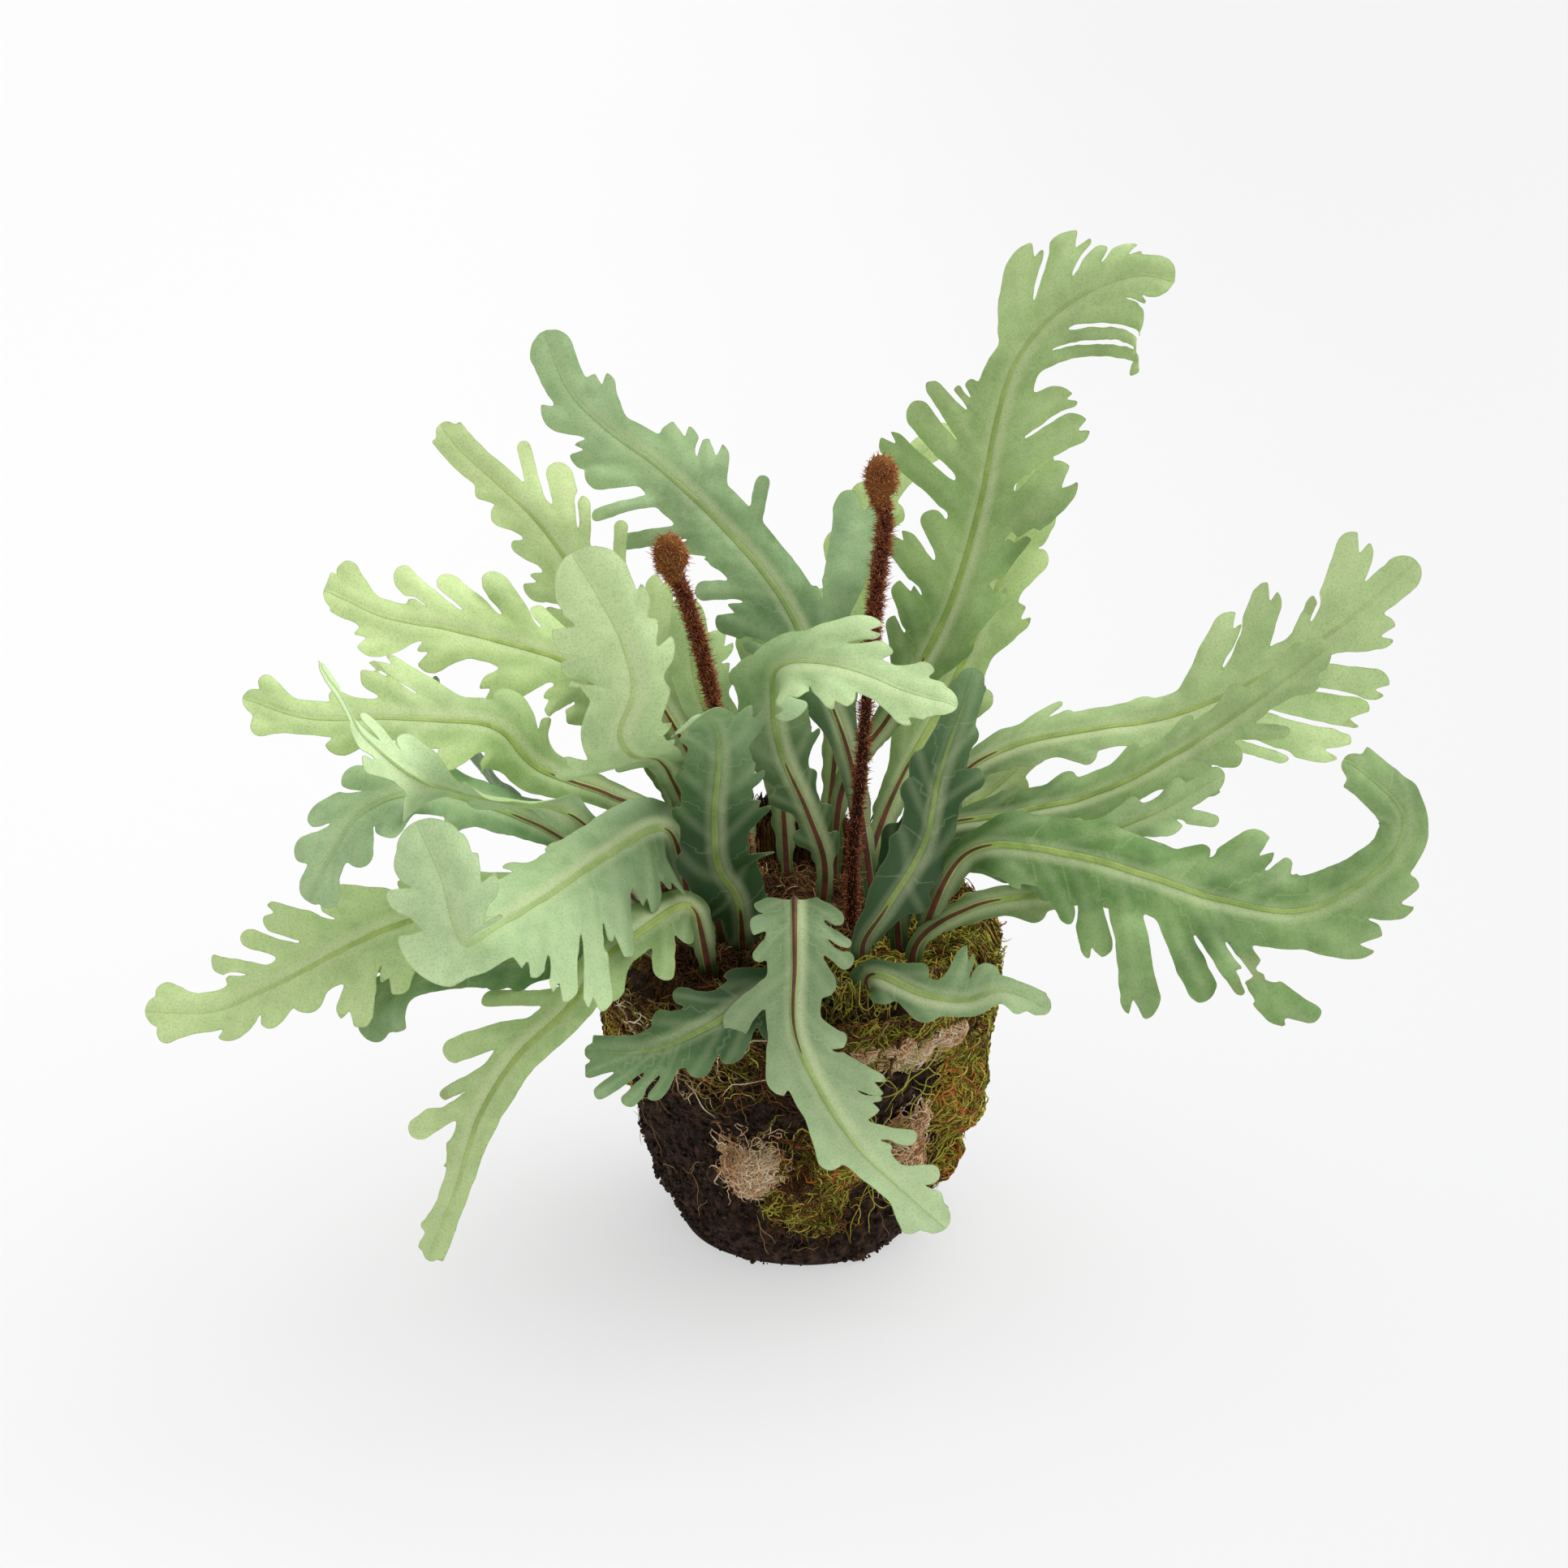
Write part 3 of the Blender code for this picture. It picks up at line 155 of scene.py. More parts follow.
# Each frond: the points that its rib passes through, the way its upper face looks from base to tip,
# where the blade starts along the rib, the half width of the blade's core, the radius of its tip, and
# its lobes. A lobe leaves the rib at its first number and ends at the second along the rib and the
# third to the side; the fourth is its half width near the end, and a fifth is how far its tip droops.
# Past `whole`, the lobes run together without slits.
FRONT = (0, -9, 4)
LEVEL = (0, -5, 8)
HALF_LEVEL = (0, -7, 6)
FRONDS = {
    "tall_right": dict(
        rib=((14, 34, 128), (19, 42, 174), (38, 48, 202), (60, 52, 244), (73, 56, 289), (79, 60, 322),
             (86, 62, 345), (98, 62, 362), (116, 58, 376), (133, 52, 383), (146, 46, 382)),
        face=(FRONT, FRONT, (-1, -8, 6)), blade=98, core=9, tip=9,
        lobes=((100, 124, -18, 5), (114, 140, -22, 5.5), (136, 160, -32, 6), (150, 173, -20, 4),
               (174, 201, -44, 5), (188, 214, -35, 4), (200, 226, -30, 4), (214, 232, -40, 2.5),
               (210, 228, -15, 2.5), (244, 271, -31, 6.5), (262, 284, -27, 6.5), (276, 290, -17, 4),
               (286, 301, -14, 4.5), (100, 131, 12, 5), (110, 154, 16, 5.5), (130, 182, 20, 6),
               (156, 202, 33, 8), (190, 225, 35, 6), (204, 239, 26, 5.5), (226, 308, 37, 2.5),
               (240, 307, 30, 2.5), (262, 309, 19, 4), (292, 312, 8, 5))),
    "behind_tall_right": dict(
        rib=((24, 22, 128), (32, 34, 152), (41, 46, 171), (61, 70, 200), (78, 84, 233), (94, 96, 270),
             (101, 102, 301)),
        face=(FRONT,), blade=58, core=8, tip=6,
        lobes=((60, 85, -12, 4), (85, 115, -15, 5), (110, 141, -16, 5), (135, 165, -13, 4),
               (160, 188, -9, 4), (80, 110, 16, 4), (115, 148, 15, 5), (138, 172, 12, 4),
               (155, 188, 9, 4))),
    "tall_left": dict(
        rib=((32, 4, 128), (22, 26, 185), (13, 38, 210), (-7, 56, 249), (-29, 66, 274), (-56, 74, 298),
             (-79, 80, 314), (-93, 84, 328), (-103, 88, 352)),
        face=(FRONT,), blade=80, core=10, tip=9, whole=234,
        lobes=((246, 266, -12, 6), (226, 247, -17, 4.5), (212, 238, -21, 4), (200, 226, -33, 2.5),
               (180, 208, -34, 3), (164, 197, -38, 3.5), (160, 188, -20, 4), (144, 169, -26, 3.5),
               (114, 154, -25, 6.5), (98, 138, -20, 5), (238, 264, 13, 6.5), (202, 222, 19, 6.5),
               (190, 208, 23, 6), (166, 184, 26, 2.5), (118, 158, 52, 7), (105, 140, 17, 5.5),
               (88, 124, 11, 5.5))),
    "cupped_tip": dict(
        rib=((-28, -24, 128), (-42, -45, 193), (-52, -76, 231), (-62, -100, 243), (-65, -108, 254),
             (-60, -106, 269), (-64, -101, 286), (-72, -94, 300), (-82, -88, 315)),
        face=((0, -9, -3), (0, -8, -5), (0, -6, -8), FRONT, FRONT), blade=118, core=11, tip=14, whole=165,
        lobes=((205, 222, 12, 8), (190, 204, 15, 8), (170, 184, 14, 8), (200, 219, -20, 8),
               (188, 205, -22, 8), (176, 190, -22, 8), (140, 160, -27, 5), (138, 156, 15, 4.5),
               (122, 136, -14, 5), (120, 132, 10, 4))),
    "upper_left": dict(
        rib=((-20, 20, 128), (-41, 22, 187), (-64, 30, 227), (-87, 38, 262), (-105, 44, 286),
             (-119, 48, 299), (-135, 52, 313), (-143, 54, 323)),
        face=(FRONT,), blade=88, core=8, tip=4,
        lobes=((198, 214, -8, 3), (180, 203, -10, 4), (164, 188, -12, 4.5), (144, 170, -19, 4.5),
               (124, 158, -16, 5), (184, 213, 19, 2.5), (164, 198, 22, 4), (158, 184, 20, 3),
               (134, 168, 27, 2.5), (106, 142, 28, 4.5))),
    "left_high": dict(
        rib=((-34, 6, 128), (-53, 4, 190), (-72, -8, 223), (-88, -20, 247), (-106, -28, 257),
             (-132, -38, 268), (-156, -46, 276), (-177, -52, 289)),
        face=(HALF_LEVEL,), blade=95, core=8, tip=5,
        lobes=((206, 228, -15, 5), (180, 206, -15, 5), (150, 178, -25, 6), (126, 151, -21, 4.5),
               (106, 136, -16, 5), (222, 243, 12, 3.5), (228, 248, 4, 3.5), (192, 211, 10, 2.5),
               (188, 218, 21, 4), (170, 198, 22, 4), (154, 183, 25, 4), (136, 160, 19, 3.5))),
    "left_middle": dict(
        rib=((-38, -4, 128), (-50, -30, 183), (-75, -48, 205), (-100, -62, 222), (-113, -72, 241),
             (-133, -82, 248), (-150, -90, 252), (-180, -100, 256), (-200, -108, 267)),
        face=(HALF_LEVEL,), blade=115, core=8, tip=5,
        lobes=((238, 257, -10, 3), (208, 231, -9, 5), (186, 208, -12, 5), (166, 192, -16, 6),
               (142, 171, -14, 5.5), (238, 259, 9, 3), (206, 228, 10, 2.5), (186, 215, 19, 4.5),
               (172, 208, 24, 5), (140, 166, 14, 4), (126, 150, 16, 3.5))),
    "left_edge_on": dict(
        rib=((-44, -16, 128), (-86, -84, 212), (-105, -97, 221), (-134, -112, 235), (-155, -124, 259),
             (-162, -130, 278), (-168, -134, 290)),
        face=((-8, -3, 6),), blade=105, core=6, tip=4,
        lobes=((205, 226, 10, 2.5), (190, 214, 13, 2.5), (162, 188, 13, 4), (132, 158, 12, 4),
               (205, 228, -9, 2.5), (188, 214, -14, 2.5), (170, 197, -13, 3.5), (142, 172, -13, 4))),
    "left_dark": dict(
        rib=((-44, 20, 128), (-92, -20, 180), (-108, -34, 194), (-120, -40, 212), (-130, -44, 233),
             (-137, -48, 253)),
        face=((-8, -5, 4),), blade=75, core=6, tip=4,
        lobes=((150, 170, 9, 2.5), (128, 152, 12, 3.5), (105, 128, 10, 4), (148, 168, -9, 2.5),
               (125, 150, -11, 3.5), (98, 122, -10, 4))),
    "left_drooping": dict(
        rib=((-46, -8, 128), (-88, -52, 185), (-108, -72, 206), (-130, -89, 221), (-142, -101, 226),
             (-153, -112, 227), (-161, -118, 223), (-169, -126, 212), (-177, -132, 197)),
        face=(LEVEL, (-3, -8, 4)), blade=108, core=7, tip=6,
        lobes=((172, 192, 15, 4), (186, 206, 15, 4), (202, 219, 13, 4), (140, 166, 12, 5),
               (172, 195, -13, 4), (192, 212, -12, 4), (214, 230, -8, 3.5), (135, 162, -12, 5))),
    "folded_tip": dict(
        rib=((-40, -30, 128), (-51, -62, 196), (-72, -92, 198), (-90, -118, 195), (-109, -142, 192),
             (-119, -152, 190), (-122, -156, 199), (-126, -152, 215), (-135, -146, 235)),
        face=((0, -8, 5), (0, -8, 5), (0, -8, 5), FRONT), blade=70, core=11, tip=12, whole=190,
        lobes=((86, 100, -24, 5.5, 5), (98, 113, -22, 4.5, 5), (118, 140, -28, 7.5, 8),
               (136, 157, -36, 5, 12), (146, 169, -28, 5.5, 8), (162, 179, -18, 5, 4),
               (96, 118, 10, 5.5), (118, 142, 12, 6), (138, 164, 15, 6), (156, 177, 13, 5.5),
               (200, 209, -20, 8.5), (212, 228, -19, 8), (222, 240, -10, 8), (200, 212, 15, 8),
               (210, 227, 16, 8), (222, 240, 8, 8))),
    "far_left_low": dict(
        rib=((-52, -22, 128), (-87, -84, 183), (-116, -96, 182), (-150, -104, 175), (-164, -108, 170),
             (-184, -112, 160), (-201, -114, 152), (-217, -116, 146), (-242, -118, 147)),
        face=(HALF_LEVEL,), blade=105, core=9, tip=6,
        lobes=((236, 256, -9, 3.5), (212, 236, -10, 4.5), (202, 220, -13, 4), (188, 206, -13, 4),
               (168, 193, -26, 5), (148, 174, -22, 5.5), (126, 155, -20, 5.5), (236, 257, 9, 3.5),
               (208, 227, 11, 2.5), (204, 233, 20, 3), (190, 216, 23, 3), (174, 204, 26, 4.5),
               (150, 182, 22, 6), (128, 155, 17, 5.5))),
    "left_below": dict(
        rib=((-50, -32, 128), (-75, -88, 164), (-99, -98, 160), (-128, -104, 158), (-146, -108, 153),
             (-155, -112, 146), (-160, -116, 134)),
        face=((0, -6, 8),), blade=58, core=8, tip=6,
        lobes=((106, 131, -34, 4), (98, 122, -14, 5), (132, 157, 15, 4), (146, 168, 10, 4),
               (150, 169, -10, 4), (80, 108, 13, 5.5), (74, 98, -13, 5.5))),
    "hanging_left": dict(
        rib=((-34, -46, 128), (-43, -78, 171), (-58, -98, 171), (-72, -112, 165), (-86, -122, 149),
             (-104, -130, 134), (-118, -134, 112), (-128, -134, 81), (-140, -130, 49)),
        face=(HALF_LEVEL,), blade=45, core=6, tip=3,
        lobes=((56, 76, -12, 4), (74, 96, -21, 3.5), (96, 117, -10, 4), (66, 90, 8, 4),
               (120, 149, 27, 3), (138, 169, 23, 3.5), (158, 184, 17, 3), (168, 196, 22, 3.5),
               (190, 214, 18, 2.5), (184, 207, 11, 2.5), (216, 236, 6, 2.5))),
    "centre_left": dict(
        rib=((-22, -30, 128), (-24, -46, 160), (-31, -56, 178), (-32, -74, 209), (-30, -88, 234),
             (-31, -98, 252), (-37, -112, 262), (-45, -122, 258)),
        face=(FRONT, FRONT, FRONT, (0, -6, -8)), blade=24, core=10, tip=10,
        lobes=((48, 30, -17, 4), (56, 74, -13, 5.5), (82, 100, -14, 5.5), (106, 122, -13, 5.5),
               (46, 71, 20, 5.5), (22, 38, 12, 5), (78, 106, 18, 5.5), (108, 128, 14, 5.5),
               (132, 152, 16, 5), (130, 147, -12, 4))),
    "centre_right": dict(
        rib=((6, -14, 128), (10, -30, 167), (3, -42, 195), (-7, -54, 224), (-10, -66, 248),
             (-7, -78, 267), (3, -88, 273), (18, -98, 274), (36, -106, 269), (56, -112, 265)),
        face=(FRONT, FRONT, (0, -7, 7), (0, -5, 9)), blade=92, core=10, tip=7,
        lobes=((52, 64, 8, 2.5), (66, 80, 8, 3), (58, 72, -8, 3), (80, 96, -10, 3.5),
               (106, 128, -13, 5), (132, 155, -13, 5.5), (162, 197, -22, 4.5), (184, 206, -12, 5),
               (206, 225, -11, 4.5), (84, 98, 8, 3), (102, 122, 14, 5), (142, 168, 18, 5.5),
               (160, 184, 20, 5.5), (178, 202, 17, 5), (206, 227, 11, 4.5))),
    "front_hanging": dict(
        rib=((-6, -42, 128), (-2, -52, 152), (-2, -70, 172), (-2, -92, 169), (-2, -99, 157),
             (-2, -103, 132), (7, -104, 108), (22, -104, 83), (38, -102, 65), (57, -98, 44)),
        face=((0, -3, 9), FRONT, FRONT), blade=48, core=8, tip=6,
        lobes=((60, 80, 17, 3.5), (70, 89, 20, 3.5), (76, 96, 21, 3), (88, 106, 14, 4),
               (106, 137, 16, 3.5), (126, 160, 21, 5), (146, 169, 16, 4.5), (160, 192, 18, 3),
               (170, 187, 9, 2.5), (54, 72, -13, 4), (68, 85, -15, 4.5), (76, 94, -15, 2.5),
               (96, 121, -25, 3.5), (116, 144, -12, 6), (144, 177, -12, 4), (196, 209, 14, 3.5),
               (202, 219, 7, 3), (198, 220, -10, 3.5))),
    "front_left": dict(
        rib=((16, -64, 128), (8, -78, 140), (-17, -88, 138), (-35, -95, 129), (-57, -99, 121),
             (-81, -104, 123)),
        face=((0, -8, 6),), blade=24, core=8, tip=3,
        lobes=((34, 56, -18, 4), (52, 73, -16, 3.5), (64, 85, -14, 3.5), (84, 99, -18, 2.5),
               (88, 107, -20, 2.5), (94, 118, -17, 2.5), (102, 122, -8, 2.5), (54, 79, 17, 3),
               (38, 60, 10, 5), (70, 92, 11, 4))),
    "front_right": dict(
        rib=((26, -64, 128), (28, -74, 141), (48, -90, 140), (63, -94, 140), (77, -98, 146),
             (94, -102, 140)),
        face=((0, -8, 6),), blade=12, core=5, tip=4,
        lobes=((26, 45, -8, 3.5), (55, 66, -21, 5.5), (62, 76, -10, 3.5), (14, 26, 6, 3.5),
               (24, 36, 9, 4), (38, 53, 8, 4), (76, 88, 6, 3))),
    "front_upright": dict(
        rib=((26, -52, 128), (24, -58, 147), (33, -60, 164), (47, -58, 189), (52, -52, 213),
             (59, -46, 233), (66, -40, 254)),
        face=((4, -9, 3),), blade=32, core=9, tip=6,
        lobes=((60, 76, -11, 5), (80, 97, -12, 4), (92, 107, -12, 4), (58, 48, 15, 4),
               (62, 82, 12, 5), (86, 106, 19, 4), (104, 122, 8, 3.5))),
    "front_short": dict(
        rib=((40, -30, 128), (38, -36, 171), (42, -38, 183), (52, -38, 199)),
        face=(FRONT,), blade=30, core=6, tip=7,
        lobes=((50, 64, -8, 3.5), (42, 60, 10, 4), (50, 68, 13, 5))),
    "right_high": dict(
        rib=((54, -2, 128), (63, 6, 187), (78, 8, 199), (95, 6, 206), (111, 2, 211), (148, -8, 222),
             (178, -16, 240), (206, -24, 264), (233, -30, 293)),
        face=(LEVEL, LEVEL, FRONT), blade=72, core=8, tip=7,
        lobes=((78, 95, -8, 3.5), (92, 112, -20, 3), (98, 118, -11, 3), (130, 152, -9, 5),
               (160, 199, -29, 6), (182, 221, -30, 6.5), (208, 236, -14, 3), (224, 264, -22, 7),
               (88, 106, 9, 4), (104, 128, 14, 3.5), (134, 158, 12, 5), (160, 196, 35, 2.5),
               (174, 213, 39, 6.5), (190, 223, 32, 6), (208, 236, 29, 4.5), (228, 252, 14, 5.5))),
    "right_middle": dict(
        rib=((50, -10, 128), (53, -14, 173), (84, -30, 189), (114, -44, 203), (139, -58, 223),
             (167, -70, 249), (194, -80, 277)),
        face=((0, -6, 8),), blade=58, core=8, tip=6,
        lobes=((70, 88, -9, 4), (96, 116, -12, 4), (126, 150, -11, 5), (154, 177, -11, 5),
               (182, 202, -9, 4), (216, 232, -7, 3.5), (76, 96, 11, 5), (90, 114, 13, 5),
               (118, 142, 15, 5), (150, 178, 17, 5), (164, 190, 14, 3.5), (184, 211, 18, 2.5),
               (212, 231, 9, 3.5))),
    "right_slender": dict(
        rib=((50, -20, 128), (54, -34, 168), (83, -48, 180), (112, -64, 194), (135, -74, 209),
             (157, -84, 228)),
        face=((0, -6, 8),), blade=52, core=6, tip=5,
        lobes=((66, 84, -8, 4), (92, 112, -9, 4), (120, 140, -8, 4), (146, 161, -7, 3.5),
               (66, 86, 9, 4), (84, 102, 24, 2.5), (114, 135, 12, 4), (136, 156, 12, 3.5),
               (148, 170, 16, 2.5))),
    "right_low": dict(
        rib=((42, -36, 128), (66, -66, 189), (101, -84, 195), (125, -94, 192), (154, -102, 185),
             (184, -106, 182), (207, -106, 194), (219, -102, 206), (221, -98, 217), (209, -94, 230),
             (199, -92, 237)),
        face=(HALF_LEVEL,), blade=72, core=11, tip=5,
        lobes=((78, 100, -11, 5.5), (108, 132, -13, 5.5), (146, 170, -16, 6), (160, 191, -27, 7.5),
               (180, 207, -19, 5.5), (84, 106, 14, 5), (104, 126, 24, 4), (118, 141, 34, 5),
               (130, 148, 19, 3.5), (136, 163, 48, 5.5), (152, 180, 36, 4), (164, 196, 33, 5),
               (172, 204, 42, 4.5), (196, 226, 20, 6), (220, 243, 16, 6), (250, 264, -7, 3.5),
               (256, 271, 8, 3.5))),
    "right_behind_low": dict(
        rib=((43, -46, 128), (47, -50, 144), (68, -58, 162), (97, -64, 170), (128, -66, 178),
             (158, -68, 183), (173, -70, 185)),
        face=((0, -6, 8),), blade=48, core=5, tip=4,
        lobes=((70, 88, -7, 3.5), (104, 124, -6, 2.5), (62, 78, 9, 3.5), (88, 108, 10, 3.5),
               (112, 132, 8, 3.5))),
    "back_right": dict(
        rib=((10, 44, 128), (17, 70, 197), (19, 84, 228), (26, 98, 262), (43, 108, 287),
             (65, 116, 303)),
        face=(FRONT,), blade=74, core=7, tip=6,
        lobes=((82, 102, -12, 5), (104, 126, -12, 4), (128, 149, -11, 4), (150, 170, -9, 4),
               (92, 113, 14, 4), (122, 143, 12, 4), (148, 170, 10, 4))),
    "back_left": dict(
        rib=((-18, 40, 128), (-28, 60, 172), (-42, 76, 202), (-47, 88, 226), (-52, 92, 236)),
        face=(FRONT,), blade=42, core=9, tip=9,
        lobes=((56, 76, -12, 5), (76, 95, -15, 5.5), (96, 112, -13, 5), (56, 78, 12, 5),
               (80, 99, 16, 5), (96, 112, 16, 5))),
    "back_middle": dict(
        rib=((-4, 36, 128), (-8, 50, 179), (-13, 62, 207), (-20, 72, 232)),
        face=(FRONT,), blade=45, core=8, tip=8,
        lobes=((62, 82, -14, 5), (84, 101, -12, 4), (58, 78, 12, 5), (78, 97, 16, 5))),
    "right_short": dict(
        rib=((44, 12, 128), (65, 20, 168), (81, 26, 178), (99, 30, 195)),
        face=(LEVEL,), blade=34, core=6, tip=5,
        lobes=((42, 58, -9, 3.5), (60, 76, -8, 3.5), (46, 64, 9, 3.5), (66, 81, 8, 3.5))),
}

# Young fronds: the path of the stalk, the radius of the stalk and the size of the coiled head.
FIDDLEHEADS = {
    "fiddlehead_left": dict(path=((-14, 2, 128), (-24, -6, 180), (-34, -16, 234), (-39, -18, 258),
                                  (-44, -20, 275), (-51, -22, 301)), stalk=1.8, head=(6.0, 19.0)),
    "fiddlehead_right": dict(path=((21, -4, 128), (22, -4, 168), (24, -3, 190), (28, -2, 248),
                                   (30, -1, 271), (33, 0, 304), (31, 0, 326)), stalk=2.1, head=(5.6, 20.0)),
}

# Patches of moss and dried tufts. On the side: from and to angle, from and to height, thickness. On the
# top: from and to angle, from and to radius, thickness. Angle 0 is +X and 270 is the front.
SIDE_PATCHES = {
    "moss_right_band": (321, 354, 32, 104, 5.0),
    "moss_front_low": (264, 291, 24, 62, 5.0),
    "moss_left_edge": (168, 204, 70, 108, 4.0),
    "dry_tuft_front_high": (278, 317, 103, 117, 4.0),
    "dry_tuft_front_low": (245, 261, 42, 66, 5.0),
    "dry_tuft_right_low": (298, 318, 38, 70, 5.0),
}
TOP_PATCHES = {
    "moss_top_right": (314, 396, 66, 76, 6.0),
    "moss_top_back": (62, 118, 54, 77, 24.0),
    "moss_top_left": (160, 232, 65, 76, 5.0),
}

# How pale each frond is, where below 0 is darker, and how bluish it is.
PALE = {
    "tall_right": (0.12, 0.2), "behind_tall_right": (0.45, 0.1), "tall_left": (0.15, 0.75),
    "cupped_tip": (0.55, 0.5), "upper_left": (0.6, 0.15), "left_high": (0.4, 0.1),
    "left_middle": (0.3, 0.15), "left_edge_on": (0.35, 0.5), "left_dark": (-0.4, 0.9),
    "left_drooping": (0.1, 0.8), "folded_tip": (0.35, 0.75), "far_left_low": (0.45, 0.2),
    "left_below": (-0.2, 0.7), "hanging_left": (0.35, 0.2), "centre_left": (-0.18, 0.75),
    "centre_right": (0.25, 0.6), "front_hanging": (0.25, 0.45), "front_left": (-0.2, 0.75),
    "front_right": (0.2, 0.7), "front_upright": (-0.25, 0.75), "front_short": (-0.2, 0.9),
    "right_high": (0.5, 0.35), "right_middle": (0.1, 0.3), "right_slender": (0.0, 0.5),
    "right_low": (-0.15, 0.35), "right_behind_low": (0.4, 0.2), "back_right": (0.6, 0.1),
    "back_left": (0.4, 0.4), "back_middle": (0.4, 0.3), "right_short": (0.5, 0.2),
}

# Where along the rib the red stripe ends, for the frond on which it runs on into the blade.
STRIPE_END = {"front_hanging": 132.0}


# Repeatable noise.


def scramble(cells, seed):
    """A repeatable number from -1 to 1 for each row of three whole numbers."""
    mixed = cells[..., 0] * 73856093 ^ cells[..., 1] * 19349663 ^ cells[..., 2] * 83492791
    mixed = (mixed ^ seed * 2654435761) & 0xFFFFFFFF
    mixed = (mixed ^ mixed >> 15) * 2246822519 & 0xFFFFFFFF
    mixed = (mixed ^ mixed >> 13) * 3266489917 & 0xFFFFFFFF
    return (mixed ^ mixed >> 16) / 2.0**31 - 1.0


def noise(points, size, seed=0):
    """Smooth noise from -1 to 1 at points in space, with features of about the given size."""
    place = np.asarray(points, float) / size
    cell = np.floor(place).astype(np.int64)
    share = place - cell
    share = share * share * (3 - 2 * share)
    total = 0.0
    for corner in itertools.product((0, 1), repeat=3):
        weight = np.prod(np.where(corner, share, 1 - share), axis=-1)
        total = total + weight * scramble(cell + np.array(corner), seed)
    return total


def flat_noise(along, across, size, seed=0):
    return noise(np.stack([along, across, np.zeros_like(along)], axis=-1), size, seed)


def ease(values):
    """A soft step from 0 to 1."""
    values = np.clip(values, 0.0, 1.0)
    return values * values * (3 - 2 * values)


# Making objects.


def add_piece(name, points, faces, look, nodes=(), values=None, crease=None):
    """A piece of the model from points in millimetres. It rides on the root, stands for the CAD nodes,
    and carries a number at each point for its material, under each name in values."""
    faces = np.asarray(faces, np.int32)
    count, corners = faces.shape
    mesh = bpy.data.meshes.new(name)
    mesh.vertices.add(len(points))
    mesh.vertices.foreach_set("co", (np.asarray(points) * MM).astype(np.float32).ravel())
    mesh.loops.add(count * corners)
    mesh.loops.foreach_set("vertex_index", faces.ravel())
    mesh.polygons.add(count)
    mesh.polygons.foreach_set("loop_start", np.arange(0, count * corners, corners, dtype=np.int32))
    mesh.update(calc_edges=True)
    for key, numbers in (values or {}).items():
        layer = mesh.attributes.new(key, "FLOAT", "POINT")
        layer.data.foreach_set("value", np.asarray(numbers, np.float32))
    mesh.materials.append(look)
    mesh.shade_smooth()
    if crease is not None:
        mesh.set_sharp_from_angle(angle=math.radians(crease))
    piece = bpy.data.objects.new(name, mesh)
    bpy.context.scene.collection.objects.link(piece)
    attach(piece, "root")
    if nodes:
        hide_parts(*nodes)


def strips(a, b, step):
    """Triangles that fill the strips between points a and b and the points a step on from them."""
    return [np.column_stack([a, b, b + step]), np.column_stack([a, b + step, a + step])]


# Materials.


def colour(red, green, blue):
    """Linear colour with alpha from the 0 to 255 values of a screen colour."""
    shares = [value / 255 for value in (red, green, blue)]
    return (*[s / 12.92 if s <= 0.04045 else ((s + 0.055) / 1.055) ** 2.4 for s in shares], 1.0)


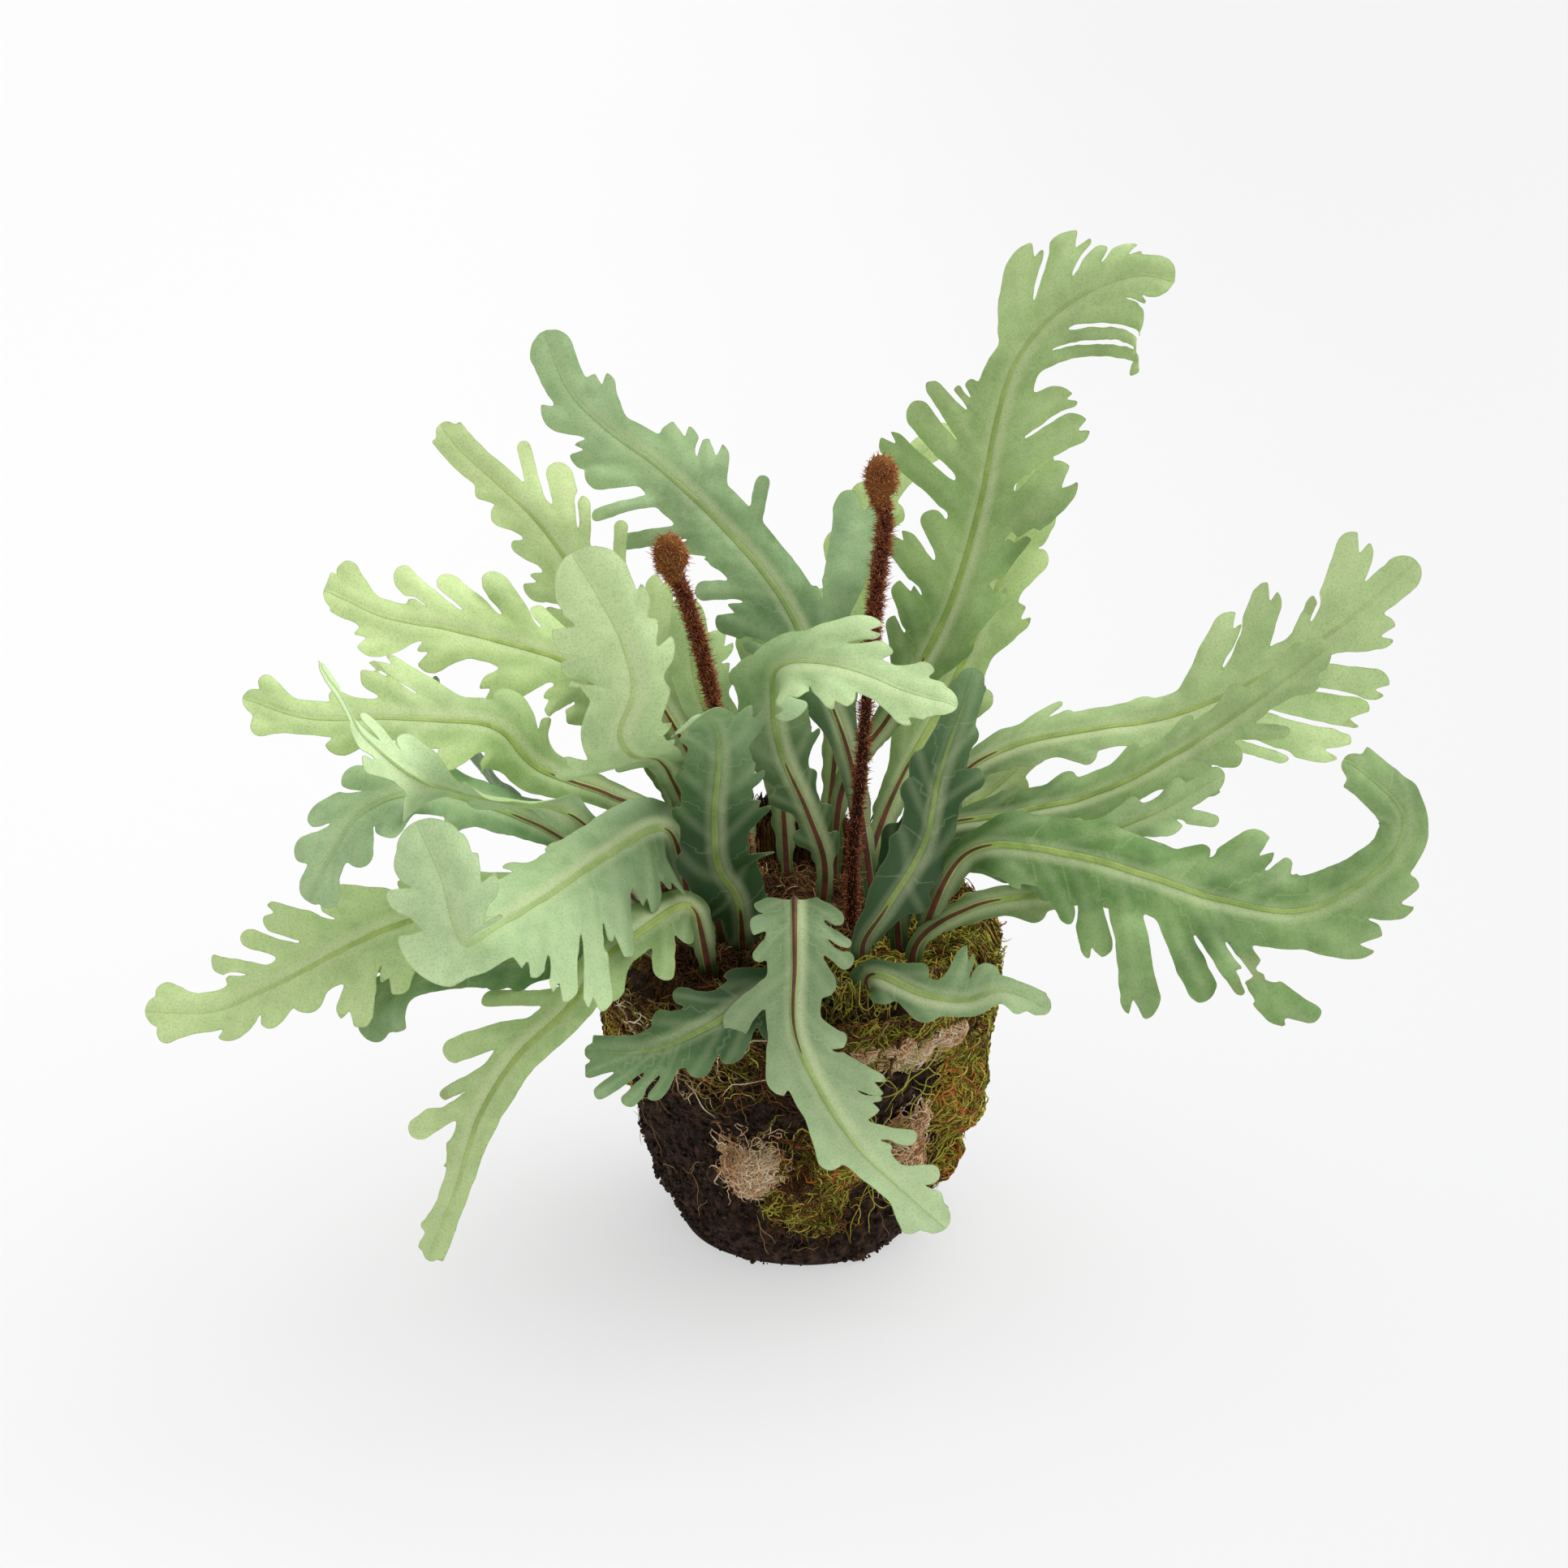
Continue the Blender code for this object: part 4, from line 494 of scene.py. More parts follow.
class Look:
    """A Principled material and short ways to add the nodes that feed it."""

    def __init__(self, name, roughness, specular=0.5):
        self.material = bpy.data.materials.new(name)
        self.material.use_nodes = True
        self.tree = self.material.node_tree
        self.shader = self.tree.nodes["Principled BSDF"]
        self.shader.inputs["Roughness"].default_value = roughness
        self.shader.inputs["Specular IOR Level"].default_value = specular
        self.place = self.tree.nodes.new("ShaderNodeTexCoord").outputs["Object"]

    def feed(self, socket, value):
        if isinstance(value, bpy.types.NodeSocket):
            self.tree.links.new(value, socket)
        else:
            socket.default_value = value

    def number(self, name):
        node = self.tree.nodes.new("ShaderNodeAttribute")
        node.attribute_name = name
        return node.outputs["Fac"]

    def math(self, operation, *values, clamp=False):
        node = self.tree.nodes.new("ShaderNodeMath")
        node.operation = operation
        node.use_clamp = clamp
        for socket, value in zip(node.inputs, values):
            self.feed(socket, value)
        return node.outputs[0]

    def step(self, value, start, end, low=0.0, high=1.0):
        """A soft change from low to high as the value goes from start to end."""
        node = self.tree.nodes.new("ShaderNodeMapRange")
        node.interpolation_type = "SMOOTHSTEP"
        for key, number in (("From Min", start), ("From Max", end), ("To Min", low), ("To Max", high)):
            self.feed(node.inputs[key], number)
        self.feed(node.inputs["Value"], value)
        return node.outputs["Result"]

    def noise(self, per_metre, detail=3.0, rough=0.5, stretch=None):
        node = self.tree.nodes.new("ShaderNodeTexNoise")
        place = self.place
        if stretch:
            scaled = self.tree.nodes.new("ShaderNodeMapping")
            scaled.inputs["Scale"].default_value = stretch
            self.tree.links.new(place, scaled.inputs["Vector"])
            place = scaled.outputs["Vector"]
        self.tree.links.new(place, node.inputs["Vector"])
        node.inputs["Scale"].default_value = per_metre
        node.inputs["Detail"].default_value = detail
        node.inputs["Roughness"].default_value = rough
        return node.outputs["Fac"]

    def ramp(self, factor, stops):
        node = self.tree.nodes.new("ShaderNodeValToRGB")
        elements, stops = node.color_ramp.elements, list(stops)
        while len(elements) < len(stops):
            elements.new(1.0)
        for element, (position, shade) in zip(elements, stops):
            element.position = position
            element.color = shade
        self.feed(node.inputs["Fac"], factor)
        return node.outputs["Color"]

    def cloudy(self, factor, dark, middle, light):
        """A ramp through three screen colours."""
        return self.ramp(factor, zip((0.3, 0.5, 0.7), (colour(*shade) for shade in (dark, middle, light))))

    def mix(self, factor, first, second, kind="MIX"):
        node = self.tree.nodes.new("ShaderNodeMix")
        node.data_type = "RGBA"
        node.blend_type = kind
        self.feed(node.inputs["Factor"], factor)
        self.feed(node.inputs[6], first)
        self.feed(node.inputs[7], second)
        return node.outputs[2]

    def bump(self, height, strength, distance):
        node = self.tree.nodes.new("ShaderNodeBump")
        node.inputs["Strength"].default_value = strength
        node.inputs["Distance"].default_value = distance
        self.feed(node.inputs["Height"], height)
        self.tree.links.new(node.outputs["Normal"], self.shader.inputs["Normal"])

    def base(self, shade):
        self.feed(self.shader.inputs["Base Color"], shade)


def leaf_look():
    """Sage green with a soft pale band beside a yellow-green rib, and a red stripe low down."""
    look = Look("frond_leaf", 0.52, 0.35)
    aside = look.number("aside")
    off_rib = look.math("ABSOLUTE", aside)
    cloud = look.noise(26.0, 4.0, 0.62)
    grain = look.noise(1300.0, 2.0, 0.6)
    blotch = look.noise(120.0, 3.0, 0.55)
    how_blue = look.number("bluish")
    fresh = look.cloudy(cloud, (78, 118, 44), (118, 158, 74), (154, 188, 104))
    bluish = look.cloudy(cloud, (64, 108, 64), (102, 146, 94), (144, 182, 126))
    green = look.mix(how_blue, fresh, bluish)
    pale = look.mix(how_blue, colour(210, 228, 158), colour(202, 226, 178))
    painted_shade_green = look.mix(how_blue, colour(56, 84, 26), colour(36, 70, 38))
    lighter = look.math("MULTIPLY_ADD", look.step(blotch, 0.35, 0.7), 0.16, look.number("pale"), clamp=True)
    green = look.mix(lighter, green, pale)
    # Painted shade: the 'shade' number darkens the leaf towards a deep green near the crown's middle, and
    # on the fronds that PALE lists below 0.
    green = look.mix(look.number("shade"), green, painted_shade_green)
    vein = look.math("MULTIPLY", look.step(look.math("ABSOLUTE", look.number("lobe_axis")), 0.6, 0.0), 0.13)
    green = look.mix(vein, green, colour(206, 220, 170))
    band_left = look.step(look.math("ABSOLUTE", look.math("SUBTRACT", aside, 2.6)), 3.6, 0.0, 0.0, 0.6)
    band_right = look.step(look.math("ABSOLUTE", look.math("ADD", aside, 2.0)), 2.8, 0.0, 0.0, 0.3)
    band = look.math("MULTIPLY", look.math("MAXIMUM", band_left, band_right), look.number("banded"))
    green = look.mix(band, green, colour(208, 218, 168))
    rib_radius = look.number("rib_radius")
    on_rib = look.step(look.math("DIVIDE", off_rib, rib_radius), 1.2, 0.8)
    rib_green = look.ramp(look.noise(90.0), ((0.35, colour(132, 160, 66)), (0.65, colour(172, 192, 98))))
    green = look.mix(look.math("MULTIPLY", on_rib, look.number("ribbed")), green, rib_green)
    stripe = look.math("MAXIMUM", look.number("red"), 0.01)
    on_red = look.step(look.math("DIVIDE", off_rib, stripe), 1.15, 0.85)
    on_red = look.math("MULTIPLY", on_red, look.step(look.number("red"), 0.12, 0.3))
    red = look.ramp(look.noise(160.0), ((0.35, colour(70, 16, 30)), (0.65, colour(112, 34, 46))))
    green = look.mix(look.math("MULTIPLY", on_red, 0.92), green, red)
    rim = look.step(look.number("from_edge"), 0.45, 0.0, 0.0, 0.35)
    green = look.mix(rim, green, colour(142, 136, 92))
    speckle = look.step(grain, 0.3, 0.7, 0.84, 1.14)
    green = look.mix(1.0, green, look.ramp(speckle, ((0.0, (0, 0, 0, 1)), (1.0, (1, 1, 1, 1)))), "MULTIPLY")
    look.base(green)
    look.tree.links.new(look.step(blotch, 0.3, 0.7, 0.46, 0.6), look.shader.inputs["Roughness"])
    look.shader.inputs["Subsurface Weight"].default_value = 0.12
    look.shader.inputs["Subsurface Radius"].default_value = (0.5, 1.0, 0.25)
    look.shader.inputs["Subsurface Scale"].default_value = 0.001
    look.bump(look.math("ADD", grain, look.math("MULTIPLY", blotch, 2.0)), 0.3, 0.0003)
    return look.material


def soil_look():
    look = Look("soil", 0.92, 0.25)
    clod = look.noise(260.0, 5.0, 0.62)
    speck = look.noise(1500.0, 3.0, 0.7, (1.0, 1.0, 0.45))
    tones = ((0.3, colour(16, 10, 8)), (0.48, colour(40, 26, 19)), (0.7, colour(88, 60, 44)))
    dark = look.ramp(clod, tones)
    light = look.step(speck, 0.6, 0.72)
    look.base(look.mix(look.math("MULTIPLY", light, 0.55), dark, colour(120, 92, 70)))
    look.bump(look.math("ADD", clod, look.math("MULTIPLY", speck, 0.5)), 0.9, 0.0012)
    return look.material


def strand_look(name, *stops):
    """Thin strands whose colour follows each strand's own tone, darker and lighter along it."""
    look = Look(name, 0.85, 0.25)
    tone = look.math("MULTIPLY_ADD", look.noise(500.0), 0.16, look.number("tone"))
    stops = [(position, colour(*shade)) for position, shade in stops]
    shade = look.ramp(look.math("SUBTRACT", tone, 0.08, clamp=True), stops)
    fine = look.noise(2500.0, 2.0)
    look.base(look.mix(look.step(fine, 0.3, 0.7, 0.0, 0.35), shade, colour(40, 30, 18), "MULTIPLY"))
    look.bump(fine, 0.3, 0.0002)
    return look.material


# Curves and frames along them.


def smooth_curve(points, step=1.0):
    """Points about `step` apart on a centripetal Catmull-Rom curve through `points`."""
    points = np.asarray(points, float)
    knots = np.vstack([2 * points[0] - points[1], points, 2 * points[-1] - points[-2]])
    spans = np.sqrt(np.linalg.norm(np.diff(knots, axis=0), axis=1))
    times = np.concatenate([[0.0], np.cumsum(spans)])
    dense = []
    for i in range(1, len(knots) - 2):
        p0, p1, p2, p3 = knots[i - 1 : i + 3]
        t0, t1, t2, t3 = times[i - 1 : i + 3]
        t = np.linspace(t1, t2, 32, endpoint=False)[:, None]
        a1 = (t1 - t) / (t1 - t0) * p0 + (t - t0) / (t1 - t0) * p1
        a2 = (t2 - t) / (t2 - t1) * p1 + (t - t1) / (t2 - t1) * p2
        a3 = (t3 - t) / (t3 - t2) * p2 + (t - t2) / (t3 - t2) * p3
        b1 = (t2 - t) / (t2 - t0) * a1 + (t - t0) / (t2 - t0) * a2
        b2 = (t3 - t) / (t3 - t1) * a2 + (t - t1) / (t3 - t1) * a3
        dense.append((t2 - t) / (t2 - t1) * b1 + (t - t1) / (t2 - t1) * b2)
    dense = np.vstack([*dense, points[-1:]])
    lengths = np.concatenate([[0.0], np.cumsum(np.linalg.norm(np.diff(dense, axis=0), axis=1))])
    stations = np.linspace(0.0, lengths[-1], max(2, round(lengths[-1] / step)) + 1)
    curve = np.column_stack([np.interp(stations, lengths, dense[:, k]) for k in range(3)])
    return curve, stations


def unit(vectors):
    return vectors / np.linalg.norm(vectors, axis=-1, keepdims=True)


def smooth_rows(rows, reach=7):
    padded = np.pad(rows, ((reach, reach), (0, 0)), mode="edge")
    window = np.ones(2 * reach + 1) / (2 * reach + 1)
    return np.column_stack([np.convolve(padded[:, k], window, "valid") for k in range(rows.shape[1])])


def side_vectors(curve, faces):
    """Unit tangents and, across them, the way the blade's width runs, given where it faces."""
    tangents = unit(np.gradient(curve, axis=0))
    faces = unit(np.asarray(faces, float))
    place = np.linspace(0.0, len(faces) - 1.0, len(curve))
    looks = np.column_stack([np.interp(place, np.arange(len(faces)), faces[:, k]) for k in range(3)])
    sides = unit(np.cross(tangents, looks))
    for i in range(1, len(sides)):
        if sides[i] @ sides[i - 1] < 0:
            sides[i] *= -1
    sides = smooth_rows(sides)
    sides -= np.sum(sides * tangents, axis=1, keepdims=True) * tangents
    return tangents, unit(sides)


# The outline of a frond, as a signed distance that is negative inside.


def blend(first, second, reach):
    """The smaller of two distances, rounded where they meet."""
    share = np.maximum(reach - np.abs(first - second), 0.0) / reach
    return np.minimum(first, second) - share * share * reach / 4


def capsule(along, across, start, end, start_radius, end_radius):
    """Distance to a straight lobe whose radius changes from start to end, and the place along it."""
    run = np.subtract(end, start)
    place = ((along - start[0]) * run[0] + (across - start[1]) * run[1]) / (run @ run)
    place = np.clip(place, 0.0, 1.0)
    apart = np.hypot(along - start[0] - place * run[0], across - start[1] - place * run[1])
    return apart - (start_radius + (end_radius - start_radius) * place), place


def lobe_ends(lobe):
    """Start and end centres of a lobe, so that its rounded end just reaches its tip, and its half width."""
    root, at, out, half = lobe[:4]
    half = half + float(np.clip(LOBE_FULLNESS * (half - SLENDER_HALF), SLENDER_EXTRA, BROAD_EXTRA))
    start = np.array([root, 0.0])
    tip = np.array([at, out], float)
    return start, tip - half * unit(tip - start), half


def lobe_distance(along, across, lobe):
    """Distance to one lobe; a broad lobe has a notch in its round end."""
    start, end, half = lobe_ends(lobe)
    shape, place = capsule(along, across, start, end, LOBE_ROOT_SHARE * half + LOBE_ROOT_EXTRA, half)
    if half > NOTCHED_HALF:
        out = unit(end - start)
        ahead = (along - end[0]) * out[0] + (across - end[1]) * out[1]
        aside = (across - end[1]) * out[0] - (along - end[0]) * out[1]
        notch = NOTCH_SLOPE * (ahead - NOTCH_DEPTH * half) - np.abs(aside - NOTCH_ASIDE * half)
        shape = np.maximum(shape, notch)
    return shape, place


def core_half_width(along, frond, length):
    """Half width of the winged petiole and of the blade between its lobes."""
    wing = np.clip(along / frond["blade"], 0.0, 1.0) ** WING_GROWTH
    petiole = PETIOLE_HALF_WIDTH + (WING_HALF_WIDTH - PETIOLE_HALF_WIDTH) * wing
    grown = np.clip((along - frond["blade"]) / BLADE_TAPER, 0.0, 1.0)
    grown = grown * grown * (3 - 2 * grown)
    narrowing = np.clip((length - along) / (NARROWING_SHARE * length), TIP_SHARE, 1.0)
    blade = PETIOLE_HALF_WIDTH + (CORE_FULLNESS * frond["core"] - PETIOLE_HALF_WIDTH) * narrowing
    return petiole + (blade - petiole) * grown


def nearest_lobes(along, across, frond, length):
    """Distances to the nearest and the next nearest lobe, and which lobe is nearest; 0 is the tip."""
    tip = frond["tip"]
    tip_start = (length - TIP_LENGTH * tip, 0.0)
    nearest, _ = capsule(along, across, tip_start, (length - tip, 0.0), TIP_ROOT_SHARE * tip, tip)
    second = np.full(along.shape, np.inf)
    which = np.zeros(along.shape, int)
    for number, lobe in enumerate(frond["lobes"], 1):
        shape, _ = lobe_distance(along, across, lobe)
        which[shape < nearest] = number
        second = np.minimum(second, np.maximum(nearest, shape))
        nearest = np.minimum(nearest, shape)
    return nearest, second, which


def blade_distance(along, across, frond, length):
    """Distance to a frond's outline: the core with its lobes, which narrow slits keep apart."""
    core = core_half_width(along, frond, length)
    distance = np.abs(across) - core
    distance = np.maximum(distance, np.maximum(-along, along - (length - frond["tip"])))
    nearest, second, _ = nearest_lobes(along, across, frond, length)
    slit = np.minimum(SLIT_SLOPE * (np.abs(across) - core), SLIT_HALF)
    slit = np.where(along > frond.get("whole", math.inf), -math.inf, slit)
    lobes = np.maximum(nearest, slit - (second - nearest) / 2)
    return np.maximum(blend(distance, lobes, LOBE_WEB), PETIOLE_START - along)


def lobe_droop(along, across, frond):
    """How far the lobes with a droop hang down at each place on the blade."""
    droop = np.zeros_like(along)
    for lobe in frond["lobes"]:
        if len(lobe) > 4:
            distance, place = lobe_distance(along, across, lobe)
            inside = np.clip(1.0 - np.maximum(distance, 0.0) / DROOP_WEB, 0.0, 1.0)
            droop = np.maximum(droop, lobe[4] * inside * place * place)
    return droop


def trace_outline(distance, along, across):
    """The longest closed line on which the gridded distance is zero."""
    inside = distance < 0
    corner_mask = (inside[:-1, :-1] * 1 + inside[1:, :-1] * 2 + inside[1:, 1:] * 4 + inside[:-1, 1:] * 8)
    # Cell sides are 0 bottom, 1 right, 2 top, 3 left; each pair leads from one side to another.
    steps = {1: ((3, 0),), 2: ((0, 1),), 3: ((3, 1),), 4: ((1, 2),), 5: ((3, 0), (1, 2)), 6: ((0, 2),),
             7: ((3, 2),), 8: ((2, 3),), 9: ((2, 0),), 10: ((0, 1), (2, 3)), 11: ((2, 1),),
             12: ((1, 3),), 13: ((1, 0),), 14: ((0, 3),)}

    def side_key(i, j, side):
        return ((i, j, 0), (i + 1, j, 1), (i, j + 1, 0), (i, j, 1))[side]

    follow = {}
    for i, j in np.argwhere((corner_mask > 0) & (corner_mask < 15)):
        for first, second in steps[int(corner_mask[i, j])]:
            follow[side_key(i, j, first)] = side_key(i, j, second)

    def crossing(key):
        i, j, upright = key
        k, m = (i, j + 1) if upright else (i + 1, j)
        share = distance[i, j] / (distance[i, j] - distance[k, m])
        return (along[i] + (along[k] - along[i]) * share, across[j] + (across[m] - across[j]) * share)

    longest = []
    while follow:
        key, nxt = follow.popitem()
        loop = [key]
        while nxt in follow:
            loop.append(nxt)
            nxt = follow.pop(nxt)
        if len(loop) > len(longest):
            longest = loop
    return np.array([crossing(key) for key in longest])


def rippled_distance(along, across, frond, length, seed):
    """The frond's distance with the small unevenness of a living edge, stronger on the petiole's wings."""
    low = 1.0 - ease((along - 0.7 * frond["blade"]) / BLADE_TAPER)
    size = RIPPLE + (WING_RIPPLE - RIPPLE) * low
    ripple = flat_noise(along, across, 5.5, seed) + 0.5 * flat_noise(along, across, 2.3, seed + 1)
    return blade_distance(along, across, frond, length) + size * ripple


def even_loop(loop, step):
    """The same closed line with points an even step apart."""
    closed = np.vstack([loop, loop[:1]])
    lengths = np.concatenate([[0.0], np.cumsum(np.hypot(*np.diff(closed, axis=0).T))])
    places = np.linspace(0.0, lengths[-1], max(3, round(lengths[-1] / step)), endpoint=False)
    return np.column_stack([np.interp(places, lengths, closed[:, k]) for k in range(2)])


def read_grid(values, along, across, points):
    """Values of a grid read between its points."""
    i = np.clip((points[:, 0] - along[0]) / CELL, 0, len(along) - 2)
    j = np.clip((points[:, 1] - across[0]) / CELL, 0, len(across) - 2)
    low_i, low_j = i.astype(int), j.astype(int)
    u, v = i - low_i, j - low_j
    near = values[low_i, low_j] * (1 - v) + values[low_i, low_j + 1] * v
    far = values[low_i + 1, low_j] * (1 - v) + values[low_i + 1, low_j + 1] * v
    return near * (1 - u) + far * u


def rib_radius(along, length):
    return RIB_BASE_RADIUS + (RIB_TIP_RADIUS - RIB_BASE_RADIUS) * np.clip(along / length, 0.0, 1.0) ** 1.4


def inner_points(along, across, distance, length):
    """Points inside the outline: rows that follow the rib, and staggered rows over the rest."""
    places = np.arange(PETIOLE_START + 1.0, length, RIB_STEP)
    rows = []
    for share in RIB_LINES:
        for side in ((1.0,) if share == 0.0 else (-1.0, 1.0)):
            rows.append(np.column_stack([places, side * share * rib_radius(places, length)]))
    columns = np.arange(along[0], along[-1], INNER_STEP)
    lines = np.arange(across[0], across[-1], INNER_STEP * math.sqrt(3) / 2)
    grid_along, grid_across = np.meshgrid(columns, lines, indexing="ij")
    grid_along = grid_along + 0.5 * INNER_STEP * (np.arange(len(lines)) % 2)
    field = np.column_stack([grid_along.ravel(), grid_across.ravel()])
    clear = RIB_LINES[-1] * rib_radius(field[:, 0], length) + 0.45 * INNER_STEP
    points = np.vstack([*rows, field[np.abs(field[:, 1]) > clear]])
    return points[read_grid(distance, along, across, points) < -EDGE_CLEAR]


def lobe_axis_share(flat, frond, which):
    """How far aside each point is from the middle line of its lobe, as a share of the lobe's half width."""
    share = np.ones(len(flat))
    for number, lobe in enumerate(frond["lobes"], 1):
        mine = which == number
        start, end, half = lobe_ends(lobe)
        out = unit(end - start)
        aside = (flat[mine, 1] - end[1]) * out[0] - (flat[mine, 0] - end[0]) * out[1]
        share[mine] = np.clip(aside / half, -1.5, 1.5)
    return share


def lobe_freedom(flat, frond, length, nearest, second):
    """How freely each point moves with its own lobe: not at all where two lobes are still one piece."""
    apart = ease((second - nearest) / LOBE_JOIN)
    slit = ease((np.abs(flat[:, 1]) - core_half_width(flat[:, 0], frond, length) - 2.0) / 8.0)
    slit = np.where(flat[:, 0] > frond.get("whole", math.inf), 0.0, slit)
    return apart + (1.0 - apart) * slit


def surface_lift(flat, frond, length, which, aside, depth, free, seed):
    """How far the leaf rises from the flat: pillows, a hollow along the rib, each lobe's own turn."""
    along, across = flat[:, 0], flat[:, 1]
    off = np.abs(across)
    core = core_half_width(along, frond, length)
    lift = PILLOW * ease(depth / 5.0)
    bow = 0.004 * flat_noise(along, across * 0, 60.0, seed) - 0.003
    lift += 1.3 * (1.0 - np.exp(-off / 4.0)) + bow * off**2
    lift += 1.5 * flat_noise(along, across, 22.0, seed) * ease(off / 12.0)
    lift += 0.45 * flat_noise(along, across, 9.0, seed + 3)
    spread = ease((off - 0.7 * core) / 20.0) * (which > 0) * free
    lift += LOBE_LIFT * spread * lobe_chance(which, seed, 7)
    return lift + LOBE_TILT * spread * aside * (0.5 + lobe_chance(which, seed, 8))


def lobe_chance(which, seed, kind):
    """A number from -1 to 1 that each lobe of each frond has for itself."""
    numbers = np.column_stack([which, which * 0 + seed, which * 0])
    return scramble(numbers.astype(np.int64), kind)


def build_frond(name, frond, look, seed):
    rib = [list(point) for point in frond["rib"]]
    rib[0][2] = TOP_HEIGHT - SUNK
    curve, stations = smooth_curve(rib)
    tangents, sides = side_vectors(curve, frond["face"])
    length = stations[-1]
    half = max(abs(lobe[2]) for lobe in frond["lobes"]) + GRID_MARGIN
    along = np.arange(-3.0, length + 6.0, CELL)
    across = np.arange(-half, half + CELL, CELL)
    distance = rippled_distance(*np.meshgrid(along, across, indexing="ij"), frond, length, seed)
    outline = even_loop(trace_outline(distance, along, across), OUTLINE_STEP)
    points = [tuple(point) for point in np.vstack([outline, inner_points(along, across, distance, length)])]
    ring = list(range(len(outline)))
    edges = list(zip(ring, ring[1:] + ring[:1]))
    flat, _, triangles, _, _, _ = delaunay_2d_cdt(points, edges, [ring], 1, 1e-5)
    flat = np.array([tuple(point) for point in flat])
    triangles = np.array([tuple(t) for t in triangles])
    depth = np.maximum(-read_grid(distance, along, across, flat), 0.0)
    solid, faces, values = leaf_solid(flat, triangles, depth, frond, curve, stations, tangents, sides, seed)
    add_piece(f"leaf_{name}", solid, faces, look, (f"frond_{name}",), values, 50.0)


def leaf_solid(flat, triangles, depth, frond, curve, stations, tangents, sides, seed):
    """The closed thin solid of a frond, its faces, and the numbers that its material reads."""
    along, across = flat[:, 0], flat[:, 1]
    length = stations[-1]

    def read(rows):
        return np.column_stack([np.interp(along, stations, rows[:, k]) for k in range(3)])

    side = unit(read(sides))
    facing = unit(np.cross(side, read(tangents)))
    nearest, second, which = nearest_lobes(along, across, frond, length)
    aside = lobe_axis_share(flat, frond, which)
    reach = np.abs(across) / WAVE_REACH
    phase = frond["blade"] + np.where(across > 0, 0.0, WAVE_SHIFT)
    lift = WAVE_HEIGHT * np.sin(2 * math.pi * along / WAVE_LENGTH + phase) * reach**WAVE_GROWTH
    free = lobe_freedom(flat, frond, length, nearest, second)
    lift += surface_lift(flat, frond, length, which, aside, depth, free, seed)
    sheet = read(curve) + across[:, None] * side + lift[:, None] * facing
    sheet[:, 2] -= lobe_droop(along, across, frond)
    radius = rib_radius(along, length)
    half_round = np.sqrt(np.clip(1.0 - (across / radius) ** 2, 0.0, 1.0)) * radius * ease(depth / 1.5)
    thick = LEAF_EDGE_THICKNESS + (LEAF_THICKNESS - LEAF_EDGE_THICKNESS) * ease(depth / 2.0)
    upper = sheet + facing * (thick / 2 + 0.45 * half_round)[:, None]
    under = sheet - facing * (thick / 2 + 0.8 * half_round)[:, None]
    count = len(flat)
    corners = np.vstack([triangles[:, [0, 1]], triangles[:, [1, 2]], triangles[:, [2, 0]]])
    known = {(a, b) for a, b in corners.tolist()}
    rims = np.array([(a, b) for a, b in corners.tolist() if (b, a) not in known])
    a, b = rims[:, 0], rims[:, 1]
    faces = np.vstack([triangles, triangles[:, ::-1] + count, *strips(b, a, count)])
    pale, bluish = PALE[frond["name"]]
    to_tip = ease((along - frond["blade"]) / (length - frond["blade"]))
    red_end = STRIPE_END.get(frond["name"], 1.05 * frond["blade"] + 12.0)
    red = radius * 0.95 * np.clip(1.0 - along / red_end, 0.0, 1.0) ** 0.35
    outer = ease(np.abs(across) / 24.0)
    tone = 0.85 * pale - 0.04 + 0.4 * to_tip
    tone = np.maximum(tone + 0.12 * outer + 0.12 * outer * free * lobe_chance(which, seed, 9), 0.0)
    # Painted shade near the middle of the crown, a little weaker on the underside, plus darker fronds where
    # PALE is below 0.
    from_crown = np.linalg.norm(sheet - np.array(CROWN), axis=1)
    painted_crown_shade = 1.0 - ease((from_crown - CROWN_NEAR) / CROWN_FADE)
    shade = np.clip(0.85 * painted_crown_shade + max(0.0, -1.2 * pale), 0.0, 0.95)
    fade = 1.0 - ease((along / length - 0.6) / 0.38)
    banded = ease((along - 0.3 * frond["blade"]) / 20.0) * (0.3 + 0.7 * fade)
    banded = banded * (1.0 + 2.0 * min(0.0, pale))
    values = {
        "aside": np.tile(across, 2),
        "rib_radius": np.tile(radius, 2),
        "from_edge": np.tile(depth, 2),
        "lobe_axis": np.tile(aside, 2),
        "shade": np.concatenate([shade, 0.8 * shade]),
        "red": np.tile(red, 2),
        "pale": np.concatenate([tone, tone + 0.18]),
        "bluish": np.concatenate([0 * tone + bluish, 0 * tone + min(1.0, bluish + 0.3)]),
        "banded": np.tile(banded, 2),
        "ribbed": np.tile((0.15 + 0.75 * fade) * (1.0 - 0.5 * bluish), 2),
    }
    return np.vstack([upper, under]), faces, values


# The root ball.


def ball_radius(angle, height):
    """Radius of the ball's side: a pot's taper with lumps, and a rounded lower edge."""
    share = min(max(height / RIM_HEIGHT, 0.0), 1.0)
    radius = BASE_RADIUS + (RIM_RADIUS - BASE_RADIUS) * share
    rounding = LOWER_ROUNDING * max(0.0, 1.0 - share / LOWER_SHARE) ** 2
    lumps = 0.0
    for count, lean, part, start in LUMP_WAVES:
        lumps += part * math.sin(count * angle + lean * height + start)
    fade = math.sin(math.pi * (LUMP_FADE_START + LUMP_FADE_SPAN * share))
    return radius - rounding + LUMP * lumps * fade


def top_height(angle, radius):
    """Height of the ball's top: flat in the crown, with a soft swell towards the rim."""
    swell = math.exp(-(((radius - SWELL_RADIUS) / SWELL_WIDTH) ** 2))
    return TOP_HEIGHT - SWELL_DEPTH * swell * (1.0 + math.sin(2 * angle + SWELL_START))


